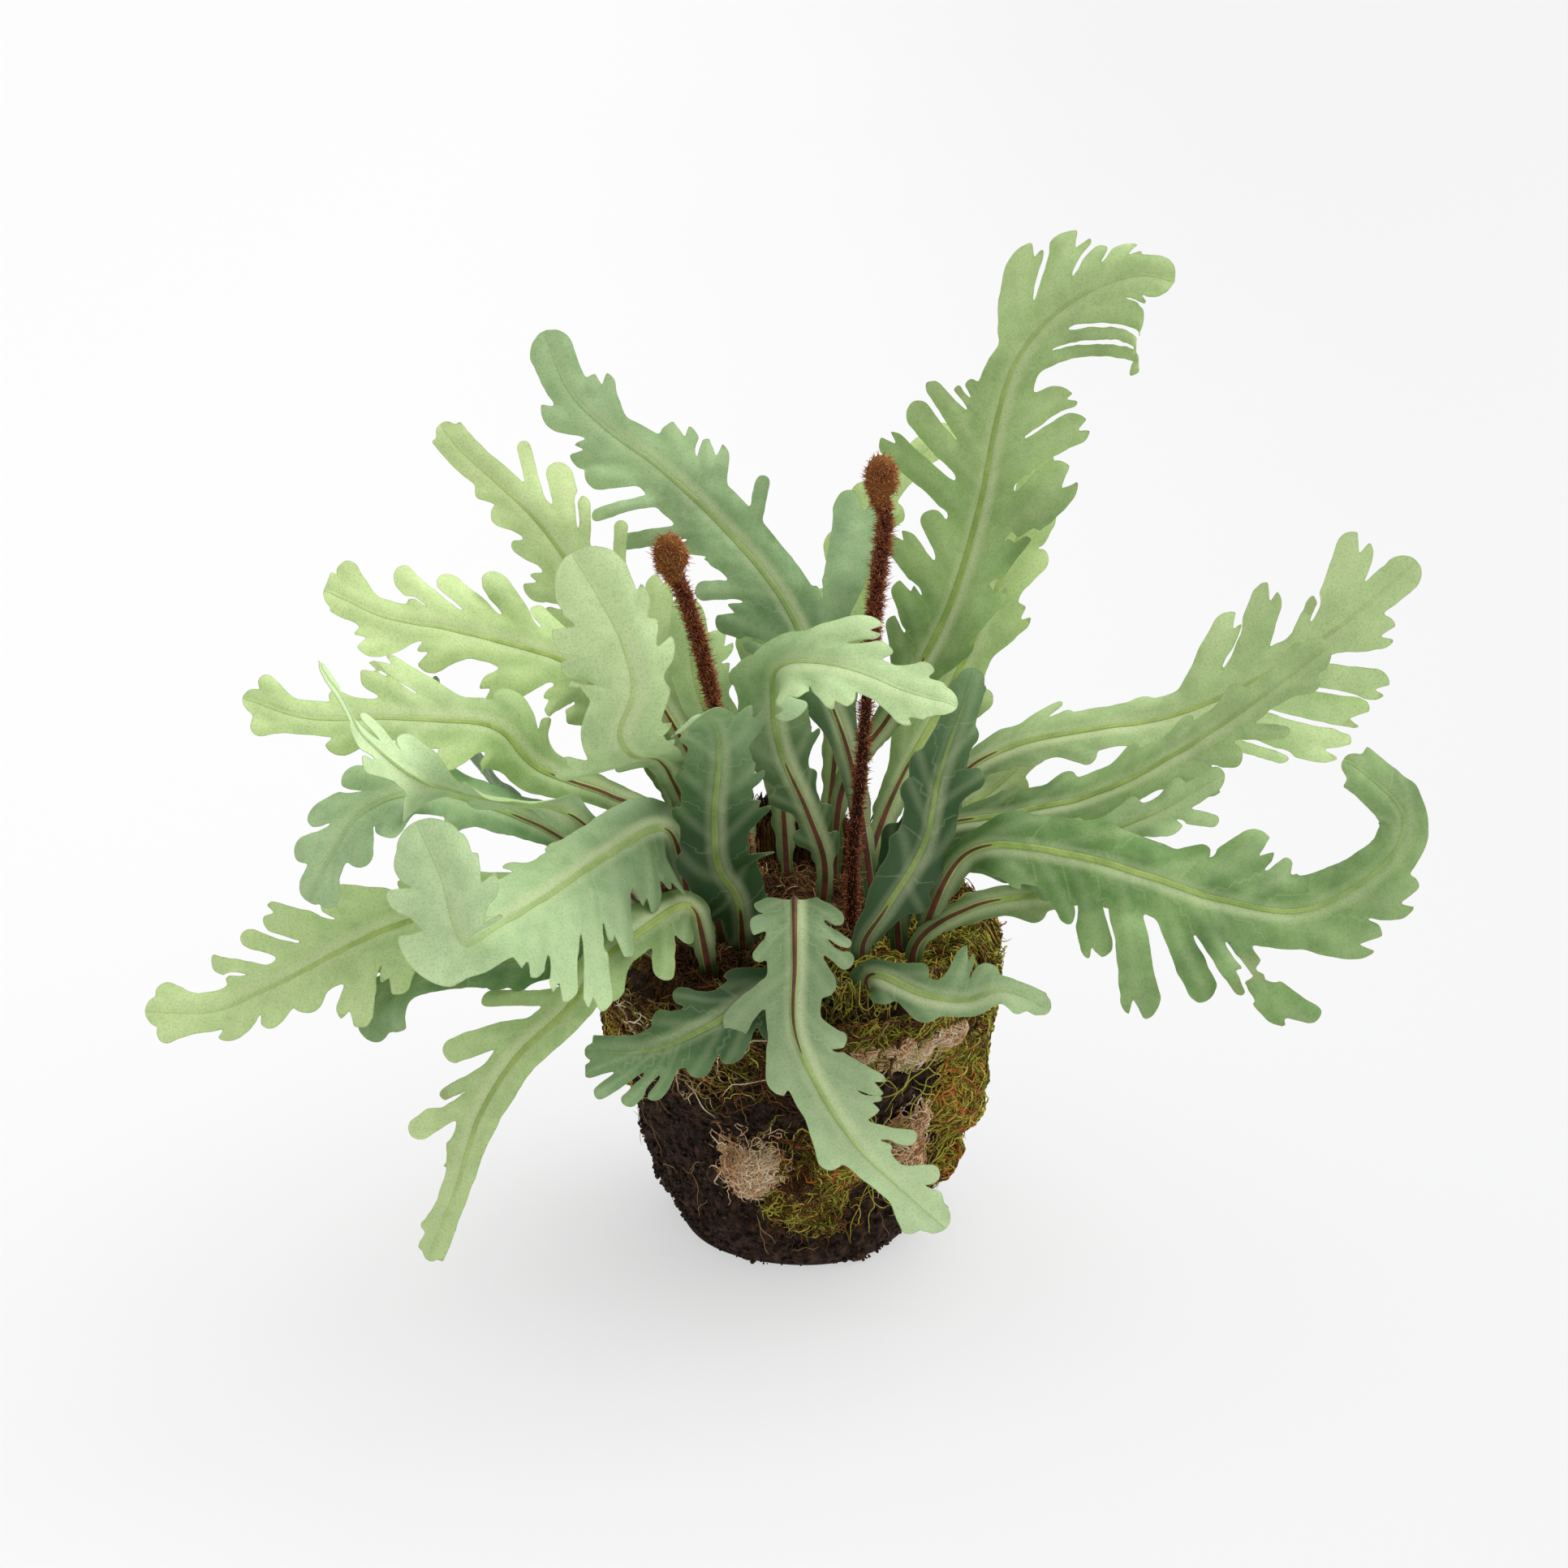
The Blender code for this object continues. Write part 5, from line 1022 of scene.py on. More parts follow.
def ball_profile(angle):
    """The ball's outline at an angle, from the middle of the underside to the middle of the top."""
    base = ball_radius(angle, 0.0)
    under = [(radius, 0.0) for radius in np.linspace(1.0, base - 1.0, 16)]
    side = [(ball_radius(angle, height), height) for height in np.linspace(0.0, RIM_HEIGHT, SIDE_STEPS)]
    shoulder = ball_radius(angle, RIM_HEIGHT)
    turn = [(shoulder - 1.6, RIM_HEIGHT + 3.5), (78.0, top_height(angle, 78.0) - 3.0)]
    top = [(radius, top_height(angle, radius)) for radius in np.linspace(76.0, 1.0, TOP_STEPS)]
    return under + side + turn + top


def soil_swell(points):
    """The broad lumps of the ball's surface."""
    return 3.4 * noise(points, 21.0, 4) + 1.8 * noise(points, 9.0, 1)


def build_ball(look):
    columns = BALL_COLUMNS
    angles = np.linspace(0.0, 2 * math.pi, columns, endpoint=False)
    profiles = np.array([ball_profile(angle) for angle in angles])
    rows = profiles.shape[1]
    radius, height = profiles[..., 0], profiles[..., 1]
    run = unit(np.gradient(profiles, axis=1))
    out_radial, out_up = run[..., 1], -run[..., 0]
    cos, sin = np.cos(angles)[:, None], np.sin(angles)[:, None]
    points = np.stack([radius * cos, radius * sin, height], axis=-1)
    outward = np.stack([out_radial * cos, out_radial * sin, out_up], axis=-1)
    rough = soil_swell(points) + 1.5 * noise(points, 4.2, 2) + 0.9 * noise(points, 2.0, 3) - 0.6
    points = points + outward * (rough * ease(height / 3.0))[..., None]
    points[..., 2] = np.maximum(points[..., 2], 0.02)
    points = points.reshape(-1, 3)
    i, j = np.meshgrid(np.arange(columns), np.arange(rows - 1), indexing="ij")
    a = (i * rows + j).ravel()
    b = (((i + 1) % columns) * rows + j).ravel()
    faces = np.vstack(strips(a, b, 1))
    points = np.vstack([points, [(0.0, 0.0, 0.02)], [(0.0, 0.0, TOP_HEIGHT - 1.0)]])
    bottom, peak = len(points) - 2, len(points) - 1
    start = np.arange(columns) * rows
    nxt = (np.arange(columns) + 1) % columns * rows
    fans = np.vstack([np.column_stack([nxt, start, start * 0 + bottom]),
                      np.column_stack([start + rows - 1, nxt + rows - 1, start * 0 + peak])])
    add_piece("soil_ball", points, np.vstack([faces, fans]), look, ("root_ball",))


def ball_frame(angles, heights):
    """Points on the ball's side and the way out of it."""
    pairs = zip(angles.ravel(), heights.ravel())
    radius = np.array([ball_radius(angle, height) for angle, height in pairs]).reshape(angles.shape)
    outward = np.stack([np.cos(angles), np.sin(angles), np.zeros_like(angles)], axis=-1)
    points = outward * radius[..., None]
    points[..., 2] = heights
    return points + outward * soil_swell(points)[..., None], outward


def top_frame(x, y):
    radius = np.hypot(x, y)
    angle = np.arctan2(y, x)
    swell = np.exp(-(((radius - SWELL_RADIUS) / SWELL_WIDTH) ** 2))
    height = TOP_HEIGHT - SWELL_DEPTH * swell * (1.0 + np.sin(2 * angle + SWELL_START))
    height = height - 8.0 * ease((radius - 74.0) / 8.0)
    points = np.stack([x, y, height], axis=-1)
    points[..., 2] += soil_swell(points)
    return points, np.broadcast_to(np.array([0.0, 0.0, 1.0]), (*x.shape, 3))


def tubes(paths, outward, radius, sides=3):
    """Closed thin tubes along paths of shape (count, steps, 3), pointed at both ends."""
    count, steps, _ = paths.shape
    tangents = unit(np.gradient(paths, axis=1) + 1e-9)
    across = unit(np.cross(tangents, outward) + 1e-6)
    up = np.cross(across, tangents)
    taper = np.minimum(1.0, 0.25 + 4.0 * np.minimum(np.linspace(0, 1, steps), np.linspace(1, 0, steps)))
    thick = np.asarray(radius).reshape(-1, 1) * taper
    rings = []
    for k in range(sides):
        turn = 2 * math.pi * k / sides
        rings.append(paths + thick[..., None] * (math.cos(turn) * across + math.sin(turn) * up))
    points = np.stack(rings, axis=2).reshape(-1, 3)
    n, s, k = np.meshgrid(np.arange(count), np.arange(steps - 1), np.arange(sides), indexing="ij")
    a = ((n * steps + s) * sides + k).ravel()
    b = ((n * steps + s) * sides + (k + 1) % sides).ravel()
    faces = strips(a, b, sides)
    first = np.arange(count)[:, None] * steps * sides + np.arange(sides)
    last = first + (steps - 1) * sides
    for k in range(1, sides - 1):
        faces += [first[:, [0, k + 1, k]], last[:, [0, k, k + 1]]]
    return points, np.vstack(faces)


def wander(rng, starts, steps, step, turn, curl):
    """Curly flat paths from starts: each strand keeps its own bend and shakes at every step."""
    count = len(starts)
    heading = rng.uniform(0, 2 * math.pi, (count, 1)) + np.cumsum(
        rng.normal(0, turn, (count, steps)) + rng.normal(0, curl, (count, 1)), axis=1)
    moves = np.stack([np.cos(heading), np.sin(heading)], axis=-1) * step
    moves[:, 0] = 0.0
    paths = starts[:, None] + np.cumsum(moves, axis=1)
    return paths - (paths.mean(axis=1, keepdims=True) - starts[:, None])


def rise_and_fall(rng, count, steps, low, high):
    """Heights along strands that weave up and down between two levels."""
    phase = rng.uniform(0, 2 * math.pi, (count, 1))
    speed = rng.uniform(0.3, 1.1, (count, 1))
    level = rng.uniform(low, high, (count, 1))
    weave = 0.5 * (high - low) * np.sin(phase + speed * np.arange(steps))
    return np.maximum(level + 0.6 * weave, -0.5)


def add_strands(name, rng, paths, outward, radius, look, slot, nodes, centre, spread):
    """A piece made of strands, whose tones from 0 to 1 are alike within clumps."""
    points, faces = tubes(paths, outward, radius)
    tone = centre + 0.35 * noise(paths.mean(axis=1), 14.0, 5) + rng.normal(0, spread, len(paths))
    tone = np.repeat(np.clip(tone, 0.0, 1.0), paths.shape[1] * 3)
    add_piece(name, points, faces, look, nodes, {"tone": tone})


def patch_frame(patch, side):
    """Points, the way out and the thickness share for places (u, v) from 0 to 1 on a patch of the ball."""
    def frame_at(u, v):
        angle = np.radians(patch[0] + (patch[1] - patch[0]) * u)
        reach = patch[2] + (patch[3] - patch[2]) * v
        if side:
            return ball_frame(angle, np.clip(reach, 1.0, RIM_HEIGHT + 2.0))
        return top_frame(reach * np.cos(angle), reach * np.sin(angle))
    return frame_at


def patch_height(u, v, thickness, points):
    """Height of a patch over the ball: full in its middle, none past its ragged edge."""
    inside = 1.0 - np.hypot(2 * u - 1, 2 * v - 1)
    ragged = inside + 0.1 + 0.75 * noise(points, 11.0, 8) + 0.3 * noise(points, 5.0, 9)
    full = ease(ragged / 0.55) ** 0.6
    return thickness * full * (0.85 + 0.3 * noise(points, 8.0, 10) + 0.12 * noise(points, 3.0, 11))


def patch_body(name, patch, side, look):
    """The dense inside of a patch of moss, as a closed lumpy slab under its strands."""
    columns, rows = (90, 60) if side else (130, 44)
    u, v = np.meshgrid(np.linspace(0, 1, columns), np.linspace(0, 1, rows), indexing="ij")
    base, outward = patch_frame(patch, side)(u, v)
    height = patch_height(u, v, patch[4], base)
    cover = base + outward * (0.82 * height - 0.9)[..., None]
    floor = base - outward * 2.5
    count = columns * rows
    i, j = np.meshgrid(np.arange(columns - 1), np.arange(rows - 1), indexing="ij")
    a = (i * rows + j).ravel()
    top = np.vstack(strips(a, a + rows, 1))
    ring = [*range(rows), *(i * rows + rows - 1 for i in range(1, columns)),
            *((columns - 1) * rows + j for j in range(rows - 2, -1, -1)),
            *(i * rows for i in range(columns - 2, 0, -1))]
    here, there = np.array(ring), np.roll(ring, -1)
    faces = np.vstack([top, top[:, ::-1] + count, *strips(here, there, count)])
    tone = np.tile(0.3 + 0.3 * noise(base, 9.0, 12).ravel(), 2)
    points = np.vstack([cover.reshape(-1, 3), floor.reshape(-1, 3)])
    points[:, 2] = np.maximum(points[:, 2], 0.02)
    add_piece(name, points, faces, look, (), {"tone": tone})


def patch_strands(rng, patch, side, count, steps, step, radius, turn, curl):
    """Curly strands that cover a patch, dense on it and scattered round it."""
    frame_at = patch_frame(patch, side)
    spread = np.radians(patch[1] - patch[0]) * (RIM_RADIUS * 0.85 if side else (patch[2] + patch[3]) / 2)
    tall = patch[3] - patch[2]
    u, v = rng.uniform(-0.15, 1.15, 5 * count), rng.uniform(-0.15, 1.15, 5 * count)
    height = patch_height(u, v, patch[4], frame_at(u, v)[0])
    chance = 0.04 + height / patch[4]
    kept = np.flatnonzero(rng.uniform(0, 1, 5 * count) < chance)[:count]
    starts = np.column_stack([u[kept] * spread, v[kept] * tall])
    flat = wander(rng, starts, steps, step, turn, curl)
    u, v = flat[..., 0] / spread, flat[..., 1] / tall
    base, outward = frame_at(u, v)
    level = rise_and_fall(rng, len(kept), steps, 0.6, 1.12)
    lift = patch_height(u, v, patch[4], base) * level + rng.uniform(0.0, 1.1, (len(kept), 1))
    paths = base + outward * lift[..., None]
    paths[..., 2] = np.maximum(paths[..., 2], 0.5)
    return paths, outward, rng.uniform(0.55, 1.25, len(kept)) * radius


def build_side_tangles(moss, dried, fibre):
    for seed, (name, patch) in enumerate(SIDE_PATCHES.items(), 11):
        rng = np.random.default_rng(seed)
        dry = name.startswith("dry")
        look, slot = (dried, "dried_moss") if dry else (moss, "moss")
        patch_body(f"{name}_body", patch, True, fibre)
        radius, turn, curl = (0.38, 0.9, 0.45) if dry else (0.4, 0.6, 0.2)
        count = MORE_STRANDS.get(name, PATCH_STRANDS)
        strands = patch_strands(rng, patch, True, count, 14, 1.6, radius, turn, curl)
        centre = 0.34 if name == "moss_front_low" else 0.5
        add_strands(f"{name}_strands", rng, *strands, look, slot, (name,), centre, 0.26)


def build_rim_tangles(moss, fibre):
    """Fibres and moss that hang over the ball's upper edge, most of all at the front and the right."""
    for seed, (look, count, low) in enumerate(((fibre, 2600, 16.0), (moss, 1500, 13.0)), 91):
        rng = np.random.default_rng(seed)
        angle = rng.uniform(0, 2 * math.pi, count)
        if look is moss:
            angle = rng.normal(-0.75, 0.75, count)
        fall = np.abs(rng.normal(0, low, count)) * (0.75 + 0.5 * np.sin(3 * angle + 1.0))
        height = RIM_HEIGHT + 2.0 - fall
        starts = np.column_stack([angle * RIM_RADIUS, np.clip(height, 30.0, RIM_HEIGHT + 2.0)])
        flat = wander(rng, starts, 13, 1.6, 0.6, 0.2)
        base, outward = ball_frame(flat[..., 0] / RIM_RADIUS, np.clip(flat[..., 1], 1.0, RIM_HEIGHT + 5.0))
        lift = rise_and_fall(rng, count, 13, 0.0, 3.2)
        paths = base + outward * lift[..., None]
        radius = rng.uniform(0.2, 0.42, count)
        add_strands(f"rim_strands_{seed}", rng, paths, outward, radius, look, "moss", (), 0.45, 0.2)


def top_tangle(rng, name, radius, angle, lift, bump, bump_size, seed, thick, look, centre):
    """Curly strands around places on the ball's top, up to a height that changes from place to place."""
    count, steps = len(radius), 11
    x, y = radius * np.cos(angle), radius * np.sin(angle)
    lift = lift + bump * (flat_noise(x, y, bump_size, seed) + 1.0)
    flat = wander(rng, np.column_stack([x, y]), steps, 1.6, 0.6, 0.25)
    base, outward = top_frame(flat[..., 0], flat[..., 1])
    rise = rise_and_fall(rng, count, steps, 0.15, 1.0) * lift[:, None]
    paths = base + outward * rise[..., None]
    radius = rng.uniform(0.6, 1.2, count) * thick
    add_strands(name, rng, paths, outward, radius, look, "moss", (), centre, 0.2)


def build_top_tangles(moss, fibre):
    for seed, (name, patch) in enumerate(TOP_PATCHES.items(), 31):
        rng = np.random.default_rng(seed)
        look = fibre if name == "moss_top_back" else moss
        patch_body(f"{name}_body", patch, False, look)
        step = 0.8 if patch[4] > STEEP_THICKNESS else 1.6
        strands = patch_strands(rng, patch, False, TOP_PATCH_STRANDS, 13, step, 0.34, 0.8, 0.3)
        centre = 0.5 if name == "moss_top_right" else 0.35
        add_strands(f"{name}_strands", rng, *strands, look, "moss", (name,), centre, 0.16)
    rng = np.random.default_rng(41)
    radius = 78.0 * np.sqrt(rng.uniform(0, 1, CROWN_FIBRES))
    angle = rng.uniform(0, 2 * math.pi, CROWN_FIBRES)
    top_tangle(rng, "crown_fibres", radius, angle, 2.6, 3.0, 17.0, 3, 0.28, fibre, 0.42)
    angle, radius = rng.normal(-0.7, 0.6, CROWN_MOSS), rng.uniform(36.0, 80.0, CROWN_MOSS)
    top_tangle(rng, "crown_moss", radius, angle, 3.5, 3.5, 15.0, 6, 0.36, moss, 0.4)


def chunk_shape():
    """The corners and faces of a twenty-sided grain of radius 1."""
    golden = (1 + math.sqrt(5)) / 2
    corners = []
    for one, two in itertools.product((-1, 1), (-golden, golden)):
        corners += [(0, one, two), (one, two, 0), (two, 0, one)]
    corners = unit(np.array(corners, float))
    reach = np.linalg.norm(corners[0] - corners, axis=1)
    edge = np.sort(reach)[1] * 1.1
    faces = []
    for a, b, c in itertools.combinations(range(len(corners)), 3):
        near = max(np.linalg.norm(corners[p] - corners[q]) for p, q in ((a, b), (b, c), (c, a)))
        if near < edge:
            outward = np.cross(corners[b] - corners[a], corners[c] - corners[a]) @ corners[a] > 0
            faces.append((a, b, c) if outward else (a, c, b))
    return corners, np.array(faces)


def build_crumbs(look):
    """Loose grains of soil all over the ball's side and round its foot."""
    rng = np.random.default_rng(51)
    count = GRAINS
    corners, faces = chunk_shape()
    angle = rng.uniform(0, 2 * math.pi, count)
    height = np.clip(rng.uniform(0.5, RIM_HEIGHT + 3, count), 1.2, RIM_HEIGHT)
    base, outward = ball_frame(angle, height)
    size = rng.uniform(0.4, 1.6, (count, 1)) * rng.uniform(0.5, 1.0, (count, 1))
    stretch = rng.uniform(0.55, 1.35, (count, 3)) * size
    spin = np.linalg.qr(rng.normal(0, 1, (count, 3, 3)))[0]
    bumpy = corners[None] * rng.uniform(0.75, 1.2, (count, len(corners), 1)) * stretch[:, None]
    grains = np.einsum("nij,nkj->nki", spin, bumpy)
    middle = base + outward * rng.uniform(-0.9, 0.9, (count, 1))
    points = (middle[:, None] + grains).reshape(-1, 3)
    points[:, 2] = np.maximum(points[:, 2], 0.02)
    turned = np.linalg.det(spin) < 0
    all_faces = np.where(turned[:, None, None], faces[None, :, ::-1], faces[None])
    all_faces = all_faces + np.arange(count)[:, None, None] * len(corners)
    add_piece("soil_crumbs", points, all_faces.reshape(-1, 3), look)


def build_soil_fibres(fibre):
    """Short needles and root threads lying on the soil."""
    rng = np.random.default_rng(61)
    count, steps = NEEDLES, 4
    angle = rng.uniform(0, 2 * math.pi, count)
    starts = np.column_stack([angle * RIM_RADIUS, rng.uniform(3, RIM_HEIGHT, count)])
    flat = wander(rng, starts, steps, 0.9, 0.15, 0.05)
    base, outward = ball_frame(flat[..., 0] / RIM_RADIUS, np.clip(flat[..., 1], 1.0, RIM_HEIGHT))
    lift = rng.uniform(-0.4, 0.9, (count, 1)) + rng.normal(0, 0.25, (count, steps))
    paths = base + outward * lift[..., None]
    radius = rng.uniform(0.07, 0.17, count)
    add_strands("soil_needles", rng, paths, outward, radius, fibre, "soil", (), 0.45, 0.25)


def build_loose_strands(name, seed, look, angles, heights, steps, step, radius, tone):
    """Single long strands that wander over the ball's side."""
    rng = np.random.default_rng(seed)
    count = len(angles)
    flat = wander(rng, np.column_stack([np.radians(angles) * RIM_RADIUS, heights]), steps, step, 0.22, 0.05)
    base, outward = ball_frame(flat[..., 0] / RIM_RADIUS, np.clip(flat[..., 1], 2.0, RIM_HEIGHT + 2.0))
    lift = rise_and_fall(rng, count, steps, 1.5, 4.0)
    paths = base + outward * lift[..., None]
    paths[..., 2] = np.maximum(paths[..., 2], 1.0)
    points, faces = tubes(paths, outward, rng.uniform(0.8, 1.2, count) * radius, 5)
    shades = np.repeat(tone + rng.normal(0, 0.06, count), steps * 5)
    add_piece(name, points, faces, look, (), {"tone": np.clip(shades, 0, 1)})


def build_scraps(moss, fibre, dried):
    """A few long strands, pale roots and a twig that stand out from the moss."""
    spread = np.random.default_rng(81)
    angles, heights = spread.uniform(292, 350, LONG_STRANDS), spread.uniform(30, 116, LONG_STRANDS)
    build_loose_strands("long_strands", 82, moss, angles, heights, 26, 1.6, 0.27, 0.6)
    angles, heights = spread.uniform(205, 260, PALE_ROOTS), spread.uniform(84, 120, PALE_ROOTS)
    build_loose_strands("pale_roots", 83, dried, angles, heights, 18, 1.5, 0.26, 0.8)
    angles, heights = spread.uniform(0, 360, THIN_ROOTS), spread.uniform(12, 112, THIN_ROOTS)
    build_loose_strands("thin_roots", 84, fibre, angles, heights, 14, 1.3, 0.15, 0.8)
    angles, heights = np.array([286.0, 296.0, 238.0]), np.array([115.0, 108.0, 110.0])
    build_loose_strands("twigs", 85, fibre, angles, heights, 12, 2.4, 0.7, 0.3)


# The young fronds.


def coil_path(shape):
    """The stalk of a young frond, running on into the coil of its head."""
    path = [list(point) for point in shape["path"]]
    path[0][2] = TOP_HEIGHT - SUNK
    curve, stations = smooth_curve(path, step=1.0)
    half, long = shape["head"]
    stop = int(len(curve) * (1 - long / stations[-1]))
    tip, below = curve[-1], curve[stop]
    up = unit(tip - below)
    aside = unit(np.cross(up, np.array([0.0, -1.0, 0.25])) * -1)
    centre = (tip + below) / 2
    turns = np.linspace(-0.42 * math.pi, 2.75 * math.pi, 30)
    shrink = np.linspace(1.0, 0.16, len(turns))
    coil = [centre + (half - 2.0) * s * math.cos(t) * aside + (long / 2 - 1.4) * s * math.sin(t) * up
            for t, s in zip(turns, shrink)]
    whole = np.vstack([curve[: stop - 3], coil])
    fine, _ = smooth_curve(whole[::2], step=0.8)
    reach = np.linalg.norm(fine - centre, axis=1)
    in_coil = ease((long * 0.62 - reach) / 4.0)
    return fine, in_coil


def build_fiddlehead(name, shape, core, hair, seed):
    rng = np.random.default_rng(seed)
    path, in_coil = coil_path(shape)
    steps = len(path)
    outward = np.broadcast_to(np.array([0.0, -1.0, 0.2]), path.shape)
    tangents = unit(np.gradient(path, axis=0))
    across = unit(np.cross(tangents, outward))
    up = np.cross(across, tangents)
    radius = shape["stalk"] * 0.95 + in_coil * 1.25
    radius = radius * np.clip(np.linspace(steps, 1, steps) / 8.0, 0.45, 1.0)
    sides = CORE_SIDES
    turn = 2 * math.pi * np.arange(sides) / sides
    ring = np.cos(turn)[None, :, None] * across[:, None] + np.sin(turn)[None, :, None] * up[:, None]
    uneven = 1 + 0.06 * rng.normal(0, 1, (steps, sides, 1))
    points = path[:, None] + ring * (radius[:, None, None] * uneven)
    s, k = np.meshgrid(np.arange(steps - 1), np.arange(sides), indexing="ij")
    a = (s * sides + k).ravel()
    b = (s * sides + (k + 1) % sides).ravel()
    points = np.vstack([points.reshape(-1, 3), path[:1], path[-1:]])
    first, last = steps * sides, steps * sides + 1
    k = np.arange(sides)
    caps = np.vstack([np.column_stack([(k + 1) % sides, k, k * 0 + first]),
                      np.column_stack([k, (k + 1) % sides, k * 0]) + [[(steps - 1) * sides] * 2 + [last]]])
    tone = np.concatenate([np.repeat(in_coil, sides), in_coil[:1], in_coil[-1:]])
    faces = np.vstack([*strips(a, b, sides), caps])
    add_piece(f"{name}_core", points, faces, core, (name,), {"tone": tone})

    count = HAIRS
    place = rng.integers(0, steps, count)
    place = np.where(rng.uniform(0, 1, count) < 0.45, rng.integers(int(steps * 0.55), steps, count), place)
    spin = rng.uniform(0, 2 * math.pi, count)
    way = np.cos(spin)[:, None] * across[place] + np.sin(spin)[:, None] * up[place]
    roots = path[place] + way * radius[place][:, None] * 0.9
    lean = unit(way + 0.45 * rng.normal(0, 1, (count, 3)) + 0.35 * tangents[place])
    long = rng.uniform(1.0, 3.0, (count, 1)) * (1.0 - 0.25 * in_coil[place][:, None])
    bend = 0.35 * rng.normal(0, 1, (count, 3))
    share = np.linspace(0.0, 1.0, 4)
    hairs = roots[:, None] + (lean * long)[:, None] * share[:, None]
    hairs = hairs + (bend * long)[:, None] * (share**2)[:, None]
    sideways = unit(np.cross(lean, rng.normal(0, 1, (count, 3))))
    points, faces = tubes(hairs, sideways[:, None] + hairs * 0, np.full(count, HAIR_RADIUS))
    tone = np.clip(0.35 + 0.25 * in_coil[place] + rng.normal(0, 0.22, count), 0, 1)
    add_piece(f"{name}_hair", points, faces, hair, (), {"tone": np.repeat(tone, 12)})


# The studio.


def build_stage():
    mesh = bpy.data.meshes.new("studio_floor")
    corners = [(x * FLOOR_HALF, y * FLOOR_HALF, 0) for x, y in ((-1, -1), (1, -1), (1, 1), (-1, 1))]
    mesh.from_pydata(corners, [], [(0, 1, 2, 3)])
    look = Look("studio_floor", 0.85, 0.1)
    split = look.tree.nodes.new("ShaderNodeSeparateXYZ")
    look.tree.links.new(look.place, split.inputs["Vector"])
    # Painted light falloff: the floor's colour and its glow go from white at -X to light grey at +X, as if
    # lit more from the left. The glow is painted light that lifts the shade round the ball.
    painted_falloff_to_right = look.math("MULTIPLY_ADD", look.noise(2.0, 1.0), 0.1, split.outputs["X"])
    painted_falloff_ends = ((0.0, colour(252, 252, 252)), (1.0, colour(243, 243, 244)))
    pale = look.ramp(look.step(painted_falloff_to_right, -0.35, 0.6), painted_falloff_ends)
    look.base(look.mix(1.0, pale, colour(150, 150, 150), "MULTIPLY"))
    look.feed(look.shader.inputs["Emission Color"], pale)
    look.shader.inputs["Emission Strength"].default_value = FLOOR_GLOW
    mesh.materials.append(look.material)
    floor = bpy.data.objects.new("studio_floor", mesh)
    bpy.context.scene.collection.objects.link(floor)


def key_light(place, aim, size, power):
    data = bpy.data.lights.new("key", "AREA")
    data.shape = "DISK"
    data.size = size
    data.energy = power
    light = bpy.data.objects.new("key", data)
    bpy.context.scene.collection.objects.link(light)
    light.location = place
    direction = np.subtract(aim, place)
    flat = math.hypot(direction[0], direction[1])
    light.rotation_euler = (math.atan2(flat, -direction[2]), 0.0, math.atan2(-direction[0], direction[1]))


def build_light():
    world = bpy.data.worlds.new("soft_white")
    world.use_nodes = True
    nodes, links = world.node_tree.nodes, world.node_tree.links
    toward = nodes.new("ShaderNodeVectorMath")
    toward.operation = "DOT_PRODUCT"
    toward.inputs[1].default_value = LIGHT_WAY
    links.new(nodes.new("ShaderNodeTexCoord").outputs["Generated"], toward.inputs[0])
    value = toward.outputs["Value"]
    for operation, *numbers in (("MULTIPLY_ADD", 0.5, 0.5), ("POWER", WORLD_FOCUS),
                                ("MULTIPLY_ADD", WORLD_HIGH, WORLD_LOW)):
        step = nodes.new("ShaderNodeMath")
        step.operation = operation
        links.new(value, step.inputs[0])
        for socket, number in zip(step.inputs[1:], numbers):
            socket.default_value = number
        value = step.outputs[0]
    links.new(value, nodes["Background"].inputs["Strength"])
    nodes["Background"].inputs["Color"].default_value = (1.0, 1.0, 1.0, 1.0)
    bpy.context.scene.world = world
    key_light((1.0, 0.7, 1.8), (0.0, 0.0, 0.2), 1.0, KEY_POWER)


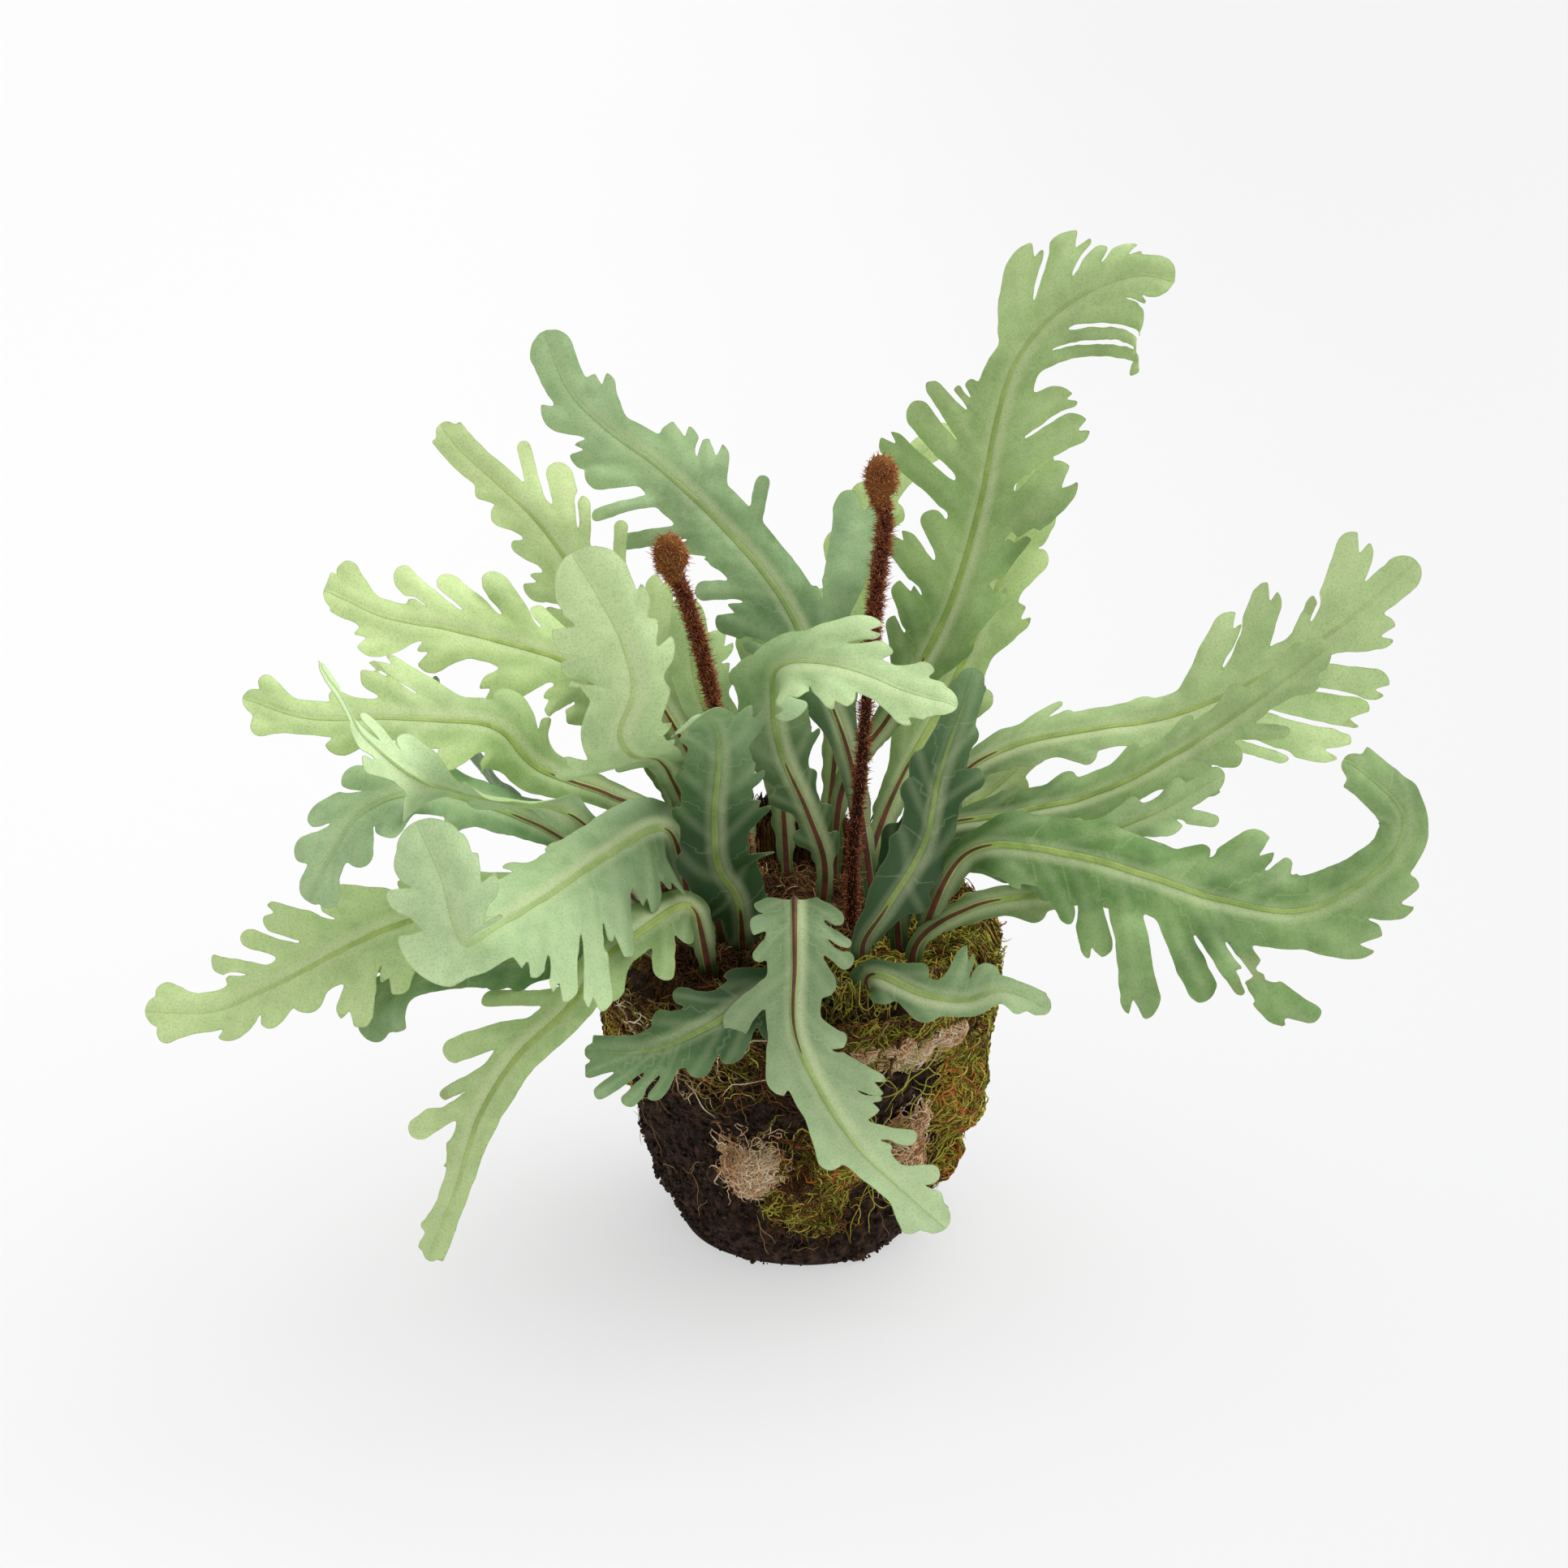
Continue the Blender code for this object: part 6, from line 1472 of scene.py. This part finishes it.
def build_camera():
    pitch = math.radians(CAMERA_PITCH)
    back, up = CAMERA_AWAY * math.cos(pitch), CAMERA_AWAY * math.sin(pitch)
    data = bpy.data.cameras.new("camera")
    data.lens = 75.0
    data.sensor_width = 36.0
    data.clip_end = 100.0
    camera = bpy.data.objects.new("camera", data)
    bpy.context.scene.collection.objects.link(camera)
    camera.location = (CAMERA_AIM[0], CAMERA_AIM[1] - back, CAMERA_AIM[2] + up)
    camera.rotation_euler = (math.pi / 2 - pitch, 0.0, 0.0)
    bpy.context.scene.camera = camera


def build_all():
    leaf = leaf_look()
    soil = soil_look()
    moss = strand_look(
        "moss", (0.0, (70, 38, 18)), (0.2, (132, 78, 32)), (0.34, (92, 96, 26)), (0.5, (150, 152, 40)),
        (0.66, (206, 198, 84)), (0.84, (214, 158, 72)), (1.0, (196, 100, 48)))
    dried = strand_look(
        "dried_moss", (0.0, (176, 122, 82)), (0.4, (230, 186, 140)), (0.7, (246, 218, 178)),
        (1.0, (250, 234, 206)))
    fibre = strand_look(
        "root_fibre", (0.0, (42, 24, 16)), (0.35, (92, 54, 32)), (0.6, (128, 92, 46)),
        (0.85, (162, 124, 78)), (1.0, (204, 172, 132)))
    needles = strand_look(
        "soil_needle", (0.0, (26, 18, 14)), (0.5, (66, 46, 34)), (0.8, (112, 88, 66)),
        (1.0, (160, 138, 112)))
    hair = strand_look(
        "fiddlehead_hair", (0.0, (98, 42, 30)), (0.35, (172, 92, 64)), (0.7, (212, 138, 88)),
        (1.0, (232, 186, 112)))
    core = strand_look("fiddlehead_core", (0.0, (58, 24, 17)), (0.5, (96, 52, 28)), (1.0, (140, 90, 38)))
    build_ball(soil)
    build_crumbs(soil)
    build_soil_fibres(needles)
    build_side_tangles(moss, dried, fibre)
    build_rim_tangles(moss, fibre)
    build_top_tangles(moss, fibre)
    build_scraps(moss, fibre, dried)
    for seed, (name, shape) in enumerate(FIDDLEHEADS.items(), 71):
        build_fiddlehead(name, shape, core, hair, seed)
    for seed, (name, frond) in enumerate(FRONDS.items(), 100):
        build_frond(name, dict(frond, name=name), leaf, seed)


build_stage()
build_light()
build_camera()
build_all()
bpy.context.scene.view_settings.view_transform = "Standard"
